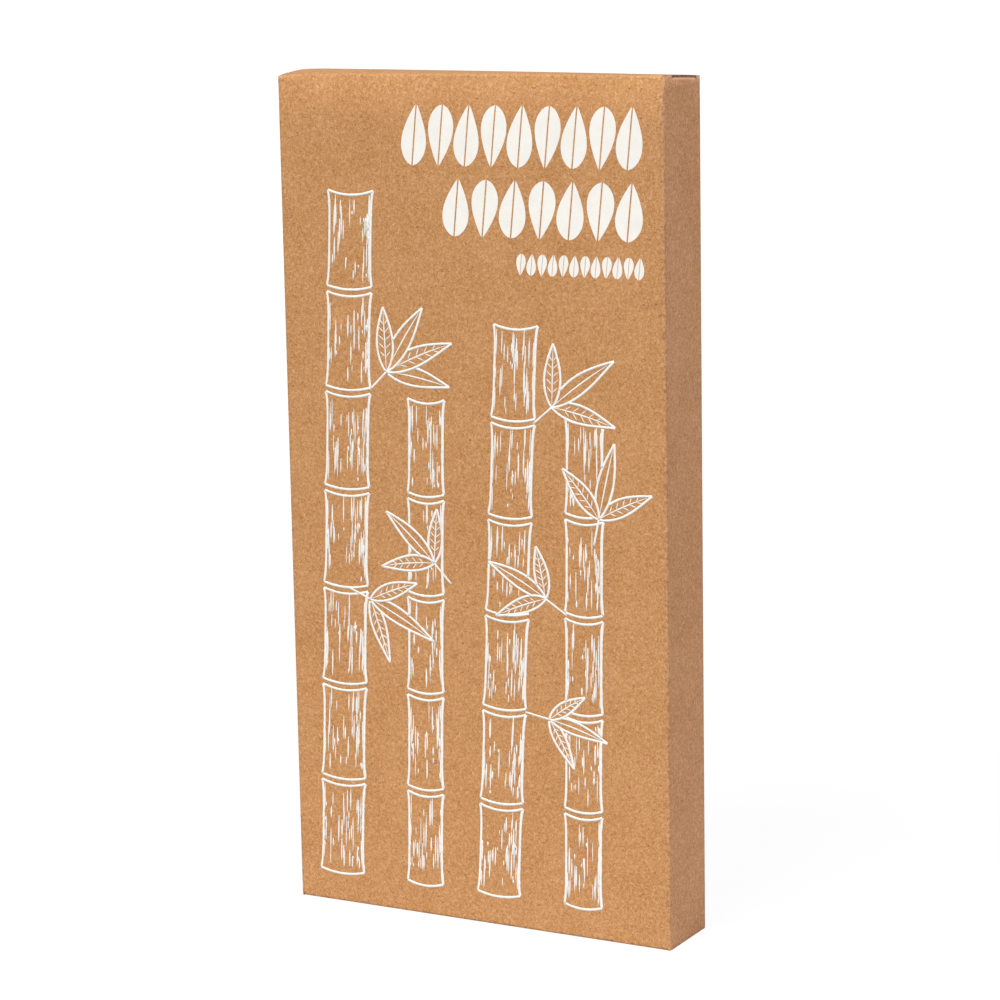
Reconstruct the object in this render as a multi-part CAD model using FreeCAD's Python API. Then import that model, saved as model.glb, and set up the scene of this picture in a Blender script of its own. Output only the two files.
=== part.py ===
# A bamboo desk organizer with a wireless charging pad, standing in its closed kraft card carton.
# Millimetres. X runs along the carton's width, the printed front faces -Y, Z points up,
# and the origin is the middle of the carton's footprint on the surface that it stands on.
import FreeCAD, Part
import math
import os

# Bamboo tray
tray_length = 224.0
tray_width = 113.0
tray_thickness = 16.5
tray_corner = 9.0
tray_face_round = 1.5
tray_back_round = 1.0
rim_width = 6.5
recess_depth = 11.0
recess_corner = 5.0
recess_floor_round = 2.0
recess_lip_round = 0.8
channel_width = 20.0
pad_length = 86.0
pad_corner = 3.0
pad_skin = 3.0

# Charger pocket and its cover
pad_wall = 7.0
pocket_corner = 10.0
ledge_width = 3.5
ledge_corner = 5.0
cover_thickness = 2.0
cover_sink = 0.2
cover_play = 0.3
screw_wood = 1.2
screw_length = 7.0
screw_shank = 2.2
screw_head = 4.2
screw_head_height = 1.2
screw_play = 0.06

# Charging coil and ferrite
coil_inner_radius = 9.5
coil_turns = 10
coil_pitch = 1.45
coil_wire = 0.95
coil_height = 1.2
coil_end_angle = 25.0
lead_diameter = 0.8
lead_hole_play = 0.4
ferrite_margin = 2.0
ferrite_corner = 3.0
ferrite_thickness = 1.0

# Circuit board and what is on it
board_width = 52.0
board_height = 40.0
board_corner = 2.0
board_thickness = 1.2
board_wall_gap = 0.5
board_hole_inset = 3.5
boss_height = 1.3
boss_diameter = 5.0
board_screw_shank = 1.9
board_screw_head = 3.4
board_screw_head_height = 1.0
board_screw_length = 3.2
controller_side = 7.0
controller_height = 0.9
driver_side = 5.0
driver_spacing = 8.0
driver_lead_gap = 1.1
chips_from_coil = 9.75
chip_gap = 2.0
inductor_side = 8.0
inductor_height = 3.6
inductor_corner = 1.2
capacitor_diameter = 5.0
capacitor_air = 1.4
capacitor_spacing = 9.0

# Charging inlet
socket_width = 8.94
socket_height = 3.26
socket_length = 7.3
socket_wall = 0.3
socket_play = 0.2
socket_depth_in_wall = 2.2
tongue_width = 6.69
tongue_thickness = 0.7
tongue_length = 4.45
plug_recess_width = 13.0
plug_recess_height = 7.2

# Feet
foot_diameter = 10.0
foot_height = 1.0
foot_round = 0.3
foot_inset = 13.0

# Carton card and the room that it leaves round the tray
card = 0.5
fold_radius = 0.9
fold_gap = 0.1
side_room = 5.5
front_room = 3.15
back_room = 2.75
head_room = 24.2
seat_gap = 0.3

# Carton flaps
lid_end_inset = 0.4
lid_back_room = 1.5
lid_corner = 1.5
lid_edge_round = 0.35
tuck_length = 9.0
tuck_lean = 12.0
tuck_end_inset = 3.0
tuck_corner = 6.0
slit_height = 0.6
dust_flap_length = 18.0
dust_flap_shoulder = 5.5
dust_flap_front_room = 0.3
dust_flap_tuck_room = 1.1
dust_flap_back_taper = 0.8
dust_flap_tip_width = 6.6
dust_flap_tip_corner = 2.0
bottom_flap_edge = 1.0
bottom_flap_end_gap = 0.3
glue_flap_width = 13.0
glue_flap_end = 8.0
glue_flap_slope = 4.0

# Carton size and the planes that the pieces share
carton_width = tray_width + 2 * (side_room + card)
carton_depth = 2 * card + front_room + tray_thickness + foot_height + back_room
carton_height = 3 * card + seat_gap + tray_length + head_room
right_x = carton_width / 2
fold_x = right_x - fold_radius
front_y = -carton_depth / 2
back_y = carton_depth / 2
side_bottom_z = 2 * card + fold_radius
lid_bottom_z = carton_height - card
panel_top_z = lid_bottom_z - fold_gap
flap_top_z = lid_bottom_z - slit_height
flap_bottom_z = flap_top_z - card
side_top_z = flap_bottom_z - fold_gap
tuck_fold_y = back_y - card - lid_back_room

face_y = front_y + card + front_room
tray_back_y = face_y + tray_thickness
floor_y = face_y + recess_depth
tray_bottom_z = 3 * card + seat_gap
tray_top_z = tray_bottom_z + tray_length
tray_middle_z = (tray_bottom_z + tray_top_z) / 2
inner_x = tray_width / 2 - rim_width
pad_left_x = -inner_x + channel_width
pad_width = tray_width / 2 - pad_left_x
pad_x = pad_left_x + pad_width / 2
pad_bottom_z = tray_middle_z - pad_length / 2
pad_top_z = tray_middle_z + pad_length / 2
pocket_width = pad_width - 2 * pad_wall
pocket_height = pad_length - 2 * pad_wall

skin_y = face_y + pad_skin
coil_back_y = skin_y + coil_height
ferrite_back_y = coil_back_y + ferrite_thickness
coil_outer_radius = coil_inner_radius + coil_turns * coil_pitch + coil_wire / 2
ferrite_side = 2 * (coil_outer_radius + ferrite_margin)
ledge_y = tray_back_y - cover_sink - cover_thickness
board_back_y = ledge_y - boss_height
board_front_y = board_back_y - board_thickness
pocket_right_x = pad_x + pocket_width / 2
board_right_x = pocket_right_x - board_wall_gap
board_x = board_right_x - board_width / 2
chips_x = pad_x + chips_from_coil
capacitor_height = board_front_y - ferrite_back_y - capacitor_air
socket_y = board_front_y - socket_height / 2
socket_mouth_x = pocket_right_x + socket_depth_in_wall

# How far a cutter runs past a face, and how close counts as the same place
overshoot = 1.0
tolerance = 1e-3


def vector(x, y, z):
    return FreeCAD.Vector(x, y, z)


def box(x_limits, y_limits, z_limits):
    """A plain block between the given limits."""
    low, high = [vector(*corner) for corner in zip(x_limits, y_limits, z_limits)]
    size = high - low
    return Part.makeBox(size.x, size.y, size.z, low)


def rod(start, direction, diameter, length):
    """A round rod from a point along a direction."""
    return Part.makeCylinder(diameter / 2, length, start, direction)


def rounded_face(corners, place):
    """A flat face through corners given as (u, v, radius), set in space by place(u, v)."""
    marks = []
    for index, (u, v, radius) in enumerate(corners):
        here = vector(u, v, 0)
        before = vector(*corners[index - 1][:2], 0)
        after = vector(*corners[(index + 1) % len(corners)][:2], 0)
        if radius <= 0:
            marks.append((here, None, here))
            continue
        back = (before - here).normalize()
        ahead = (after - here).normalize()
        half_turn = back.getAngle(ahead) / 2
        reach = radius / math.tan(half_turn)
        middle = (back + ahead).normalize() * (radius / math.sin(half_turn) - radius)
        marks.append((here + back * reach, here + middle, here + ahead * reach))
    edges = []
    for index, (start, middle, end) in enumerate(marks):
        if middle is not None:
            arc_points = [place(point.x, point.y) for point in (start, middle, end)]
            edges.append(Part.Arc(*arc_points).toShape())
        next_start = marks[(index + 1) % len(marks)][0]
        if end.distanceToPoint(next_start) > tolerance:
            edges.append(Part.makeLine(place(end.x, end.y), place(next_start.x, next_start.y)))
    return Part.Face(Part.Wire(edges))


def rectangle(u_limits, v_limits, radius):
    """The corners of a rectangle, all with one radius."""
    return [
        (u_limits[0], v_limits[0], radius),
        (u_limits[1], v_limits[0], radius),
        (u_limits[1], v_limits[1], radius),
        (u_limits[0], v_limits[1], radius),
    ]


def around(middle, size):
    return (middle - size / 2, middle + size / 2)


def upright(corners, y_limits):
    """A plate or profile drawn in X and Z, drawn out along Y."""
    face = rounded_face(corners, lambda u, v: vector(u, y_limits[0], v))
    return face.extrude(vector(0, y_limits[1] - y_limits[0], 0))


def level(corners, z_limits):
    """A plate drawn in X and Y, thick along Z."""
    face = rounded_face(corners, lambda u, v: vector(u, v, z_limits[0]))
    return face.extrude(vector(0, 0, z_limits[1] - z_limits[0]))


def crosswise(corners, x_limits):
    """A profile drawn in Y and Z, drawn out along X."""
    face = rounded_face(corners, lambda u, v: vector(x_limits[0], u, v))
    return face.extrude(vector(x_limits[1] - x_limits[0], 0, 0))


def edges_at_y(shape, y):
    """The edges that lie wholly in the plane at this Y."""
    flat = []
    for edge in shape.Edges:
        limits = edge.BoundBox
        if abs(limits.YMin - y) < tolerance and abs(limits.YMax - y) < tolerance:
            flat.append(edge)
    return flat


def mirrored(shape):
    return shape.mirror(vector(0, 0, 0), vector(1, 0, 0))


# Carton walls

def front_panel():
    return box((-fold_x, fold_x), (front_y, front_y + card), (fold_radius, panel_top_z))


def back_panel():
    """The back wall, lapped over the glue flap as far as the left edge."""
    return box((-right_x, fold_x), (back_y - card, back_y), (card + fold_radius, carton_height))


def side_wall(back_plane):
    """A right-hand side wall with rounded upright folds, stepped down at the top for its dust flap."""
    inner_radius = fold_radius - card
    corners = [
        (fold_x, front_y, 0),
        (right_x, front_y, fold_radius),
        (right_x, back_plane, fold_radius),
        (fold_x, back_plane, 0),
        (fold_x, back_plane - card, 0),
        (right_x - card, back_plane - card, inner_radius),
        (right_x - card, front_y + card, inner_radius),
        (fold_x, front_y + card, 0),
    ]
    wall = level(corners, (side_bottom_z, panel_top_z))
    flap_seat = box(
        (fold_x - overshoot, right_x + overshoot),
        (front_y + dust_flap_shoulder, back_plane - fold_radius),
        (side_top_z, carton_height),
    )
    return wall.cut(flap_seat)


def glue_flap():
    """The strip along the left wall that the back wall is glued to, with sloped ends."""
    inner_edge = -fold_x + glue_flap_width
    low = side_bottom_z + glue_flap_end
    high = side_top_z - glue_flap_end
    corners = [
        (-fold_x, low, 0),
        (inner_edge, low + glue_flap_slope, 0),
        (inner_edge, high - glue_flap_slope, 0),
        (-fold_x, high, 0),
    ]
    return upright(corners, (back_y - 2 * card, back_y - card))


# Sealed bottom end

def bent_flap(fold_u, fold_v, end_u):
    """The profile of a flap that bends inward from a wall at fold_u, with its outer face at fold_v."""
    inward = math.copysign(1, end_u - fold_u)
    inner_radius = fold_radius - card
    return [
        (fold_u, fold_v + fold_radius, 0),
        (fold_u, fold_v, fold_radius),
        (end_u, fold_v, 0),
        (end_u, fold_v + card, 0),
        (fold_u + inward * card, fold_v + card, inner_radius),
        (fold_u + inward * card, fold_v + fold_radius, 0),
    ]


def bottom_outer_flap():
    half = fold_x - bottom_flap_end_gap
    return crosswise(bent_flap(front_y, 0, back_y - bottom_flap_edge), (-half, half))


def bottom_inner_flap():
    half = fold_x - bottom_flap_end_gap
    end_y = front_y + fold_radius + bottom_flap_edge
    return crosswise(bent_flap(back_y, card, end_y), (-half, half))


def bottom_dust_flap():
    profile = bent_flap(right_x, 2 * card, right_x - dust_flap_length)
    edge = fold_radius + card + bottom_flap_end_gap
    return upright(profile, (front_y + edge, back_y - edge))


# Tuck top

def top_lid():
    half = right_x - lid_end_inset
    corners = [
        (-half, front_y, 0),
        (half, front_y, 0),
        (half, tuck_fold_y, lid_corner),
        (-half, tuck_fold_y, lid_corner),
    ]
    lid = level(corners, (lid_bottom_z, carton_height))
    front_edges = []
    for edge in lid.Edges:
        middle = edge.CenterOfMass
        if abs(middle.y - front_y) < tolerance and abs(middle.z - carton_height) < tolerance:
            front_edges.append(edge)
    return lid.makeFillet(lid_edge_round, front_edges)


def top_tuck():
    """The tongue along the lid's far edge, leaning inward from its fold."""
    half = right_x - lid_end_inset - tuck_end_inset
    tip_z = lid_bottom_z - tuck_length
    corners = [
        (-half, lid_bottom_z - fold_gap, 0),
        (-half, tip_z, tuck_corner),
        (half, tip_z, tuck_corner),
        (half, lid_bottom_z - fold_gap, 0),
    ]
    tongue = upright(corners, (tuck_fold_y, tuck_fold_y + card))
    tongue.rotate(vector(0, tuck_fold_y, lid_bottom_z), vector(1, 0, 0), -tuck_lean)
    return tongue


def top_dust_flap():
    """The right-hand dust flap, behind its shoulder, sloped in front to clear the lid as both swing."""
    tip_x = right_x - dust_flap_length
    flap_back_y = tuck_fold_y - dust_flap_tuck_room
    tip_back_y = flap_back_y - dust_flap_back_taper
    corners = [
        (right_x, front_y + dust_flap_shoulder + dust_flap_front_room, 0),
        (right_x, flap_back_y, 0),
        (tip_x, tip_back_y, dust_flap_tip_corner),
        (tip_x, tip_back_y - dust_flap_tip_width, dust_flap_tip_corner),
    ]
    return level(corners, (flap_bottom_z, flap_top_z))


# Bamboo tray

def recess_corners():
    """The C-shaped recess: two trays joined by the pen channel that runs past the pad."""
    low = tray_bottom_z + rim_width
    high = tray_top_z - rim_width
    return [
        (-inner_x, low, recess_corner),
        (inner_x, low, recess_corner),
        (inner_x, pad_bottom_z, recess_corner),
        (pad_left_x, pad_bottom_z, pad_corner),
        (pad_left_x, pad_top_z, pad_corner),
        (inner_x, pad_top_z, recess_corner),
        (inner_x, high, recess_corner),
        (-inner_x, high, recess_corner),
    ]


def slot(y, z, width, height, x_limits):
    """A round-ended slot along X, wide along Z and high along Y."""
    corners = rectangle(around(y, height), around(z, width), height / 2)
    return crosswise(corners, x_limits)


def pocket_corners(margin, radius):
    """The charger pocket's outline, widened by a margin all round."""
    return rectangle(
        around(pad_x, pocket_width + 2 * margin), around(tray_middle_z, pocket_height + 2 * margin), radius
    )


def cover_screw_places():
    """The four places in the pocket's corners where the cover is screwed down."""
    beyond_arc = (pocket_corner + screw_wood + screw_shank / 2) / math.sqrt(2) - pocket_corner
    reach_x = pocket_width / 2 + beyond_arc
    reach_z = pocket_height / 2 + beyond_arc
    return [(pad_x + i * reach_x, tray_middle_z + k * reach_z) for i in (-1, 1) for k in (-1, 1)]


def bamboo_tray():
    outline = rectangle(
        (-tray_width / 2, tray_width / 2), (tray_bottom_z, tray_top_z), tray_corner
    )
    slab = upright(outline, (face_y, tray_back_y))
    slab = slab.makeFillet(tray_face_round, edges_at_y(slab, face_y))
    slab = slab.makeFillet(tray_back_round, edges_at_y(slab, tray_back_y))

    recess = upright(recess_corners(), (face_y - overshoot, floor_y))
    recess = recess.makeFillet(recess_floor_round, edges_at_y(recess, floor_y))
    tray = slab.cut(recess)
    within_rim = recess.BoundBox
    within_rim.enlarge(tolerance)
    lip = [edge for edge in edges_at_y(tray, face_y) if within_rim.isInside(edge.BoundBox)]
    tray = tray.makeFillet(recess_lip_round, lip)

    pocket = upright(pocket_corners(0, pocket_corner), (skin_y, tray_back_y + overshoot))
    ledge = upright(pocket_corners(ledge_width, ledge_corner), (ledge_y, tray_back_y + overshoot))
    wall_outside_x = tray_width / 2 + overshoot
    socket_hole = slot(
        socket_y, tray_middle_z,
        socket_width + 2 * socket_play, socket_height + 2 * socket_play,
        (pocket_right_x - overshoot, wall_outside_x),
    )
    plug_recess = slot(
        socket_y, tray_middle_z, plug_recess_width, plug_recess_height, (socket_mouth_x, wall_outside_x)
    )
    tray = tray.cut(pocket).cut(ledge).cut(socket_hole).cut(plug_recess)
    for x, z in cover_screw_places():
        pilot_length = screw_length - cover_thickness + overshoot
        pilot = rod(vector(x, ledge_y, z), vector(0, -1, 0), screw_shank + 2 * screw_play, pilot_length)
        tray = tray.cut(pilot)
    return tray


# Charger

def countersunk_screw(x, z, grow):
    """A cover screw, or with grow above 0 the hole that it goes through."""
    top_y = ledge_y + cover_thickness
    head = Part.makeCone(
        screw_head / 2 + grow, screw_shank / 2 + grow, screw_head_height,
        vector(x, top_y, z), vector(0, -1, 0),
    )
    shank = rod(vector(x, top_y, z), vector(0, -1, 0), screw_shank + 2 * grow, screw_length)
    return head.fuse(shank).removeSplitter()


def board_hole_places():
    reach_x = board_width / 2 - board_hole_inset
    reach_z = board_height / 2 - board_hole_inset
    return [(board_x + i * reach_x, tray_middle_z + k * reach_z) for i in (-1, 1) for k in (-1, 1)]


def charger_cover():
    """The cover over the pocket, with the bosses that carry the circuit board."""
    outline = pocket_corners(ledge_width - cover_play, ledge_corner - cover_play)
    cover = upright(outline, (ledge_y, ledge_y + cover_thickness))
    for x, z in board_hole_places():
        cover = cover.fuse(rod(vector(x, ledge_y, z), vector(0, -1, 0), boss_diameter, boss_height))
    for x, z in board_hole_places():
        hole_start = vector(x, board_back_y, z)
        hole_length = board_screw_length - board_thickness + screw_play
        cover = cover.cut(rod(hole_start, vector(0, 1, 0), board_screw_shank + 2 * screw_play, hole_length))
    for x, z in cover_screw_places():
        cover = cover.cut(countersunk_screw(x, z, screw_play))
    return cover.removeSplitter()


def cover_screws():
    return Part.makeCompound([countersunk_screw(x, z, 0) for x, z in cover_screw_places()])


def circuit_board():
    outline = rectangle(around(board_x, board_width), around(tray_middle_z, board_height), board_corner)
    plate = upright(outline, (board_front_y, board_back_y))
    for x, z in board_hole_places():
        hole_start = vector(x, board_front_y - overshoot, z)
        hole_length = board_thickness + 2 * overshoot
        plate = plate.cut(rod(hole_start, vector(0, 1, 0), board_screw_shank + 2 * screw_play, hole_length))
    return plate


def board_screws():
    screws = []
    for x, z in board_hole_places():
        seat = vector(x, board_front_y, z)
        head = rod(seat, vector(0, -1, 0), board_screw_head, board_screw_head_height)
        shank = rod(seat, vector(0, 1, 0), board_screw_shank, board_screw_length)
        screws.append(head.fuse(shank).removeSplitter())
    return Part.makeCompound(screws)


def on_board(x, z, width, length, height, corner):
    """A block that stands on the board's inner face."""
    outline = rectangle(around(x, width), around(z, length), corner)
    return upright(outline, (board_front_y - height, board_front_y))


def control_chips():
    """The charging controller, and two coil drivers in a row that ends beside the coil's outer lead."""
    controller = on_board(chips_x, tray_middle_z - driver_spacing, controller_side, controller_side,
                          controller_height, 0)
    chips = [controller]
    outer_lead_x, _ = coil_lead_places()[-1]
    last_driver_x = outer_lead_x - lead_diameter / 2 - driver_lead_gap - driver_side / 2
    driver_z = tray_middle_z + driver_spacing
    for driver_x in (last_driver_x - 2 * driver_spacing, last_driver_x):
        chips.append(on_board(driver_x, driver_z, driver_side, driver_side, controller_height, 0))
    return Part.makeCompound(chips)


def power_inductor():
    x = chips_x - controller_side / 2 - chip_gap - inductor_side / 2
    z = tray_middle_z - driver_spacing
    return on_board(x, z, inductor_side, inductor_side, inductor_height, inductor_corner)


def filter_capacitors():
    """Round capacitors in a row along the board's upper edge, as many as fit between its screws."""
    z = tray_middle_z + board_height / 2 - capacitor_diameter / 2 - board_wall_gap
    room = board_width - 2 * board_hole_inset - board_screw_head
    count = math.floor(room / capacitor_spacing)
    cans = []
    for step in range(count):
        seat = vector(board_x + (step - (count - 1) / 2) * capacitor_spacing, board_front_y, z)
        cans.append(rod(seat, vector(0, -1, 0), capacitor_diameter, capacitor_height))
    return Part.makeCompound(cans)


def coil_turn_points():
    """Where the wire's middle crosses the coil's level line, once each half turn."""
    points = []
    for half_turn in range(2 * coil_turns + 1):
        side = 1 if half_turn % 2 == 0 else -1
        points.append(side * (coil_inner_radius + half_turn * coil_pitch / 2))
    return points


def coil_wire_edge(offset):
    """One edge of the flat winding: half circles that grow by half a pitch each time."""
    points = coil_turn_points()
    arcs = []
    for half_turn in range(2 * coil_turns):
        start, end = points[half_turn], points[half_turn + 1]
        middle = (start + end) / 2
        radius = abs(start - end) / 2 + offset
        side = 1 if half_turn % 2 == 0 else -1
        crossings = [(middle + side * radius, 0), (middle, side * radius), (middle - side * radius, 0)]
        arc_points = [vector(pad_x + u, skin_y, tray_middle_z + v) for u, v in crossings]
        arcs.append(Part.Arc(*arc_points).toShape())
    return arcs


def charging_coil():
    """The flat spiral winding behind the pad's skin."""
    outer = coil_wire_edge(coil_wire / 2)
    inner = coil_wire_edge(-coil_wire / 2)
    start_cap = Part.makeLine(inner[0].Vertexes[0].Point, outer[0].Vertexes[0].Point)
    end_cap = Part.makeLine(inner[-1].Vertexes[-1].Point, outer[-1].Vertexes[-1].Point)
    outline = Part.Wire(Part.__sortEdges__(outer + inner + [start_cap, end_cap]))
    coil = Part.Face(outline).extrude(vector(0, coil_height, 0))
    coil.rotate(vector(pad_x, skin_y, tray_middle_z), vector(0, -1, 0), coil_end_angle)
    return coil


def coil_lead_places():
    """The coil's inner and outer ends, turned up to lie above the charging inlet."""
    points = coil_turn_points()
    angle = math.radians(coil_end_angle)
    ends = (points[0], points[-1])
    return [(pad_x + end * math.cos(angle), tray_middle_z + end * math.sin(angle)) for end in ends]


def ferrite_sheet():
    outline = rectangle(around(pad_x, ferrite_side), around(tray_middle_z, ferrite_side), ferrite_corner)
    sheet = upright(outline, (coil_back_y, ferrite_back_y))
    for x, z in coil_lead_places():
        start = vector(x, coil_back_y - overshoot, z)
        hole_length = ferrite_thickness + 2 * overshoot
        sheet = sheet.cut(rod(start, vector(0, 1, 0), lead_diameter + 2 * lead_hole_play, hole_length))
    return sheet


def coil_leads():
    """The coil's two ends, led back through the ferrite to the circuit board."""
    length = board_front_y - coil_back_y
    leads = []
    for x, z in coil_lead_places():
        leads.append(rod(vector(x, coil_back_y, z), vector(0, 1, 0), lead_diameter, length))
    return Part.makeCompound(leads)


def socket_shell():
    """The metal shell of the charging inlet, closed at its inner end."""
    outside = slot(socket_y, tray_middle_z, socket_width, socket_height,
                   (socket_mouth_x - socket_length, socket_mouth_x))
    inside = slot(socket_y, tray_middle_z, socket_width - 2 * socket_wall, socket_height - 2 * socket_wall,
                  (socket_mouth_x - socket_length + socket_wall, socket_mouth_x + overshoot))
    return outside.cut(inside)


def socket_tongue():
    back_x = socket_mouth_x - socket_length + socket_wall
    body_end_x = socket_mouth_x - tongue_length
    body = slot(socket_y, tray_middle_z, socket_width - 2 * socket_wall, socket_height - 2 * socket_wall,
                (back_x, body_end_x))
    tongue = box((body_end_x, socket_mouth_x - socket_wall),
                 around(socket_y, tongue_thickness), around(tray_middle_z, tongue_width))
    return body.fuse(tongue).removeSplitter()


def rubber_feet():
    feet = []
    for i in (-1, 1):
        for end_z in (tray_bottom_z + foot_inset, tray_top_z - foot_inset):
            x = i * (tray_width / 2 - foot_inset)
            foot = rod(vector(x, tray_back_y, end_z), vector(0, 1, 0), foot_diameter, foot_height)
            feet.append(foot.makeFillet(foot_round, edges_at_y(foot, tray_back_y + foot_height)))
    return Part.makeCompound(feet)


pieces = {
    "front_panel": front_panel(),
    "back_panel": back_panel(),
    "right_panel": side_wall(back_y),
    "left_panel": mirrored(side_wall(back_y - card)),
    "glue_flap": glue_flap(),
    "bottom_outer_flap": bottom_outer_flap(),
    "bottom_inner_flap": bottom_inner_flap(),
    "bottom_dust_flap_right": bottom_dust_flap(),
    "bottom_dust_flap_left": mirrored(bottom_dust_flap()),
    "top_lid": top_lid(),
    "top_tuck": top_tuck(),
    "top_dust_flap_right": top_dust_flap(),
    "top_dust_flap_left": mirrored(top_dust_flap()),
    "bamboo_tray": bamboo_tray(),
    "charger_cover": charger_cover(),
    "cover_screws": cover_screws(),
    "circuit_board": circuit_board(),
    "board_screws": board_screws(),
    "control_chips": control_chips(),
    "power_inductor": power_inductor(),
    "filter_capacitors": filter_capacitors(),
    "charging_coil": charging_coil(),
    "ferrite_sheet": ferrite_sheet(),
    "coil_leads": coil_leads(),
    "socket_shell": socket_shell(),
    "socket_tongue": socket_tongue(),
    "rubber_feet": rubber_feet(),
}

os.makedirs("parts", exist_ok=True)
for name, shape in pieces.items():
    shape.exportStep(f"parts/{name}.step")
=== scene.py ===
# Looks of the boxed charging organizer: the kraft carton with its white print, the bamboo tray and its
# charger. Metres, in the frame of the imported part. Sizes in millimetres are multiplied by MM.
import bmesh
import bpy
import math
import random
from mathutils import Matrix, Vector


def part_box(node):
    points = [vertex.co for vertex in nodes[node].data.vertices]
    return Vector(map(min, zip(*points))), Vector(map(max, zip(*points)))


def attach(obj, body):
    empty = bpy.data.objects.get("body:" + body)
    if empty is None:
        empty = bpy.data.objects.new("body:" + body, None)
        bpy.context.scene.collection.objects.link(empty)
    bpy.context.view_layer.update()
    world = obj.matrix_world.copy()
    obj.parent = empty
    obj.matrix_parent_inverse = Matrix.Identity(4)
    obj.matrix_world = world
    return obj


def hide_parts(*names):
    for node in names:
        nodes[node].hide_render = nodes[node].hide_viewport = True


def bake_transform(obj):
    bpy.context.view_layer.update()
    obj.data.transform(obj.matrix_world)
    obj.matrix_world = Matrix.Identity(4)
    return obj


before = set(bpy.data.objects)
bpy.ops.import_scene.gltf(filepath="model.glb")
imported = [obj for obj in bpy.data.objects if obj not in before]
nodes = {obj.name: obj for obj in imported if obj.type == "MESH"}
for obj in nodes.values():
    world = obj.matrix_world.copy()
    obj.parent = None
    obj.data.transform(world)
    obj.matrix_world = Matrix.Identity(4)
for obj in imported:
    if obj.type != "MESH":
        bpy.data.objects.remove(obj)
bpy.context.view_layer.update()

MM = 0.001

# Carton, read from the frame
front_low, front_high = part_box("front_panel")
back_low, back_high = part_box("back_panel")
lid_low, lid_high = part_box("top_lid")
tuck_low, tuck_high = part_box("top_tuck")
flap_low, flap_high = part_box("top_dust_flap_right")
right_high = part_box("right_panel")[1]
left_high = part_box("left_panel")[1]
front_y = front_low.y
fold_x = front_high.x
side_x = right_high.x
top_z = lid_high.z
card = front_high.y - front_low.y
fold_radius = side_x - fold_x

# The soft bend of the front panel's top, the top fold and the crown of the lid
curl_start_z = top_z - 14 * MM
curl_end_z = top_z - 6 * MM
curl_height = 13 * MM
curl_depth = 0.8 * MM
curl_hold = 8 * MM
top_fold_radius = 1.0 * MM
fold_drop_left, fold_drop_right = 0.39 * MM, 0.16 * MM
fold_arch = 0.45 * MM
corner_press, corner_reach = 0.8 * MM, 9 * MM
far_drop_left, far_drop_right = 0.1 * MM, 1.1 * MM
crown_left, crown_right = 0.85 * MM, 0.12 * MM
back_top_drop = 0.15 * MM
side_foot_z = 0.12 * MM

# The dust flaps' folds, pressed up under the lid, and their edges at the fold and at the tip
shoulder_end_y = front_y + 5.5 * MM
rear_shoulder_y = flap_high.y + 0.06 * MM
shoulder_cut = 0.05 * MM
flap_fold_radius = 0.8 * MM
flap_lid_gap = 0.04 * MM
flap_front = (shoulder_end_y + 0.15 * MM, flap_high.y - 7.4 * MM)
flap_back = (flap_high.y, flap_high.y - 0.8 * MM)
flap_tip_round = 2 * MM

# The lid's tongue
tuck_radius = 0.7 * MM
tuck_corner = 6 * MM
tuck_lean = math.radians(12)
tuck_fold_step = Vector((0, 0.7 * MM, -0.8 * MM))


# Node trees

class Field:
    """A value that varies over a piece: one output of a node tree. Arithmetic on it adds math nodes."""

    def __init__(self, tree, socket):
        self.tree = tree
        self.socket = socket

    def calc(self, operation, first, second=0.0):
        return place(self.tree, "ShaderNodeMath", {0: first, 1: second}, operation=operation)[0]

    def __add__(self, other):
        return self.calc("ADD", self, other)

    def __sub__(self, other):
        return self.calc("SUBTRACT", self, other)

    def __rsub__(self, other):
        return self.calc("SUBTRACT", other, self)

    def __mul__(self, other):
        return self.calc("MULTIPLY", self, other)

    def __truediv__(self, other):
        return self.calc("DIVIDE", self, other)

    def __abs__(self):
        return self.calc("ABSOLUTE", self)

    def whole(self):
        return self.calc("FLOOR", self)

    def fraction(self):
        return self.calc("FRACT", self)

    def least(self, other):
        return self.calc("MINIMUM", self, other)

    def most(self, other):
        return self.calc("MAXIMUM", self, other)


def place(tree, kind, inputs=None, **settings):
    """Adds a node, with its settings, and links or sets its inputs by name or number.
    Gives its outputs as fields, by name and number. A list of fields all goes to one input."""
    node = tree.nodes.new(kind)
    for name, value in settings.items():
        setattr(node, name, value)
    for key, value in (inputs or {}).items():
        for one in value if isinstance(value, list) else [value]:
            if isinstance(one, Field):
                tree.links.new(one.socket, node.inputs[key])
            else:
                node.inputs[key].default_value = one
    outputs = {}
    for number, socket in enumerate(node.outputs):
        outputs[number] = Field(tree, socket)
        outputs.setdefault(socket.name, outputs[number])
    return outputs


def ramp(value, low, high):
    """0 below low, 1 above high, smooth between."""
    return place(value.tree, "ShaderNodeMapRange", {"Value": value, "From Min": low, "From Max": high},
                 interpolation_type="SMOOTHSTEP")["Result"]


def fade(value, low, high):
    """1 below low, 0 above high, smooth between."""
    return 1.0 - ramp(value, low, high)


def tint(factor, first, second, blend="MIX"):
    """The second colour mixed into the first, or blended over it."""
    tree = next(value.tree for value in (factor, first, second) if isinstance(value, Field))
    return place(tree, "ShaderNodeMix", {0: factor, 6: first, 7: second},
                 data_type="RGBA", blend_type=blend)[2]


def noise(point, scale, detail=2.0, roughness=0.5):
    return place(point.tree, "ShaderNodeTexNoise",
                 {"Vector": point, "Scale": scale, "Detail": detail, "Roughness": roughness})["Fac"]


def layered(layers):
    """A level about a half, swayed by each field about its own half, times its weight."""
    level = 0.5
    for field, weight in layers:
        level = (field - 0.5) * weight + level
    return level


def stretch(point, x, y, z):
    return place(point.tree, "ShaderNodeVectorMath", {0: point, 1: (x, y, z)}, operation="MULTIPLY")[0]


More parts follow.
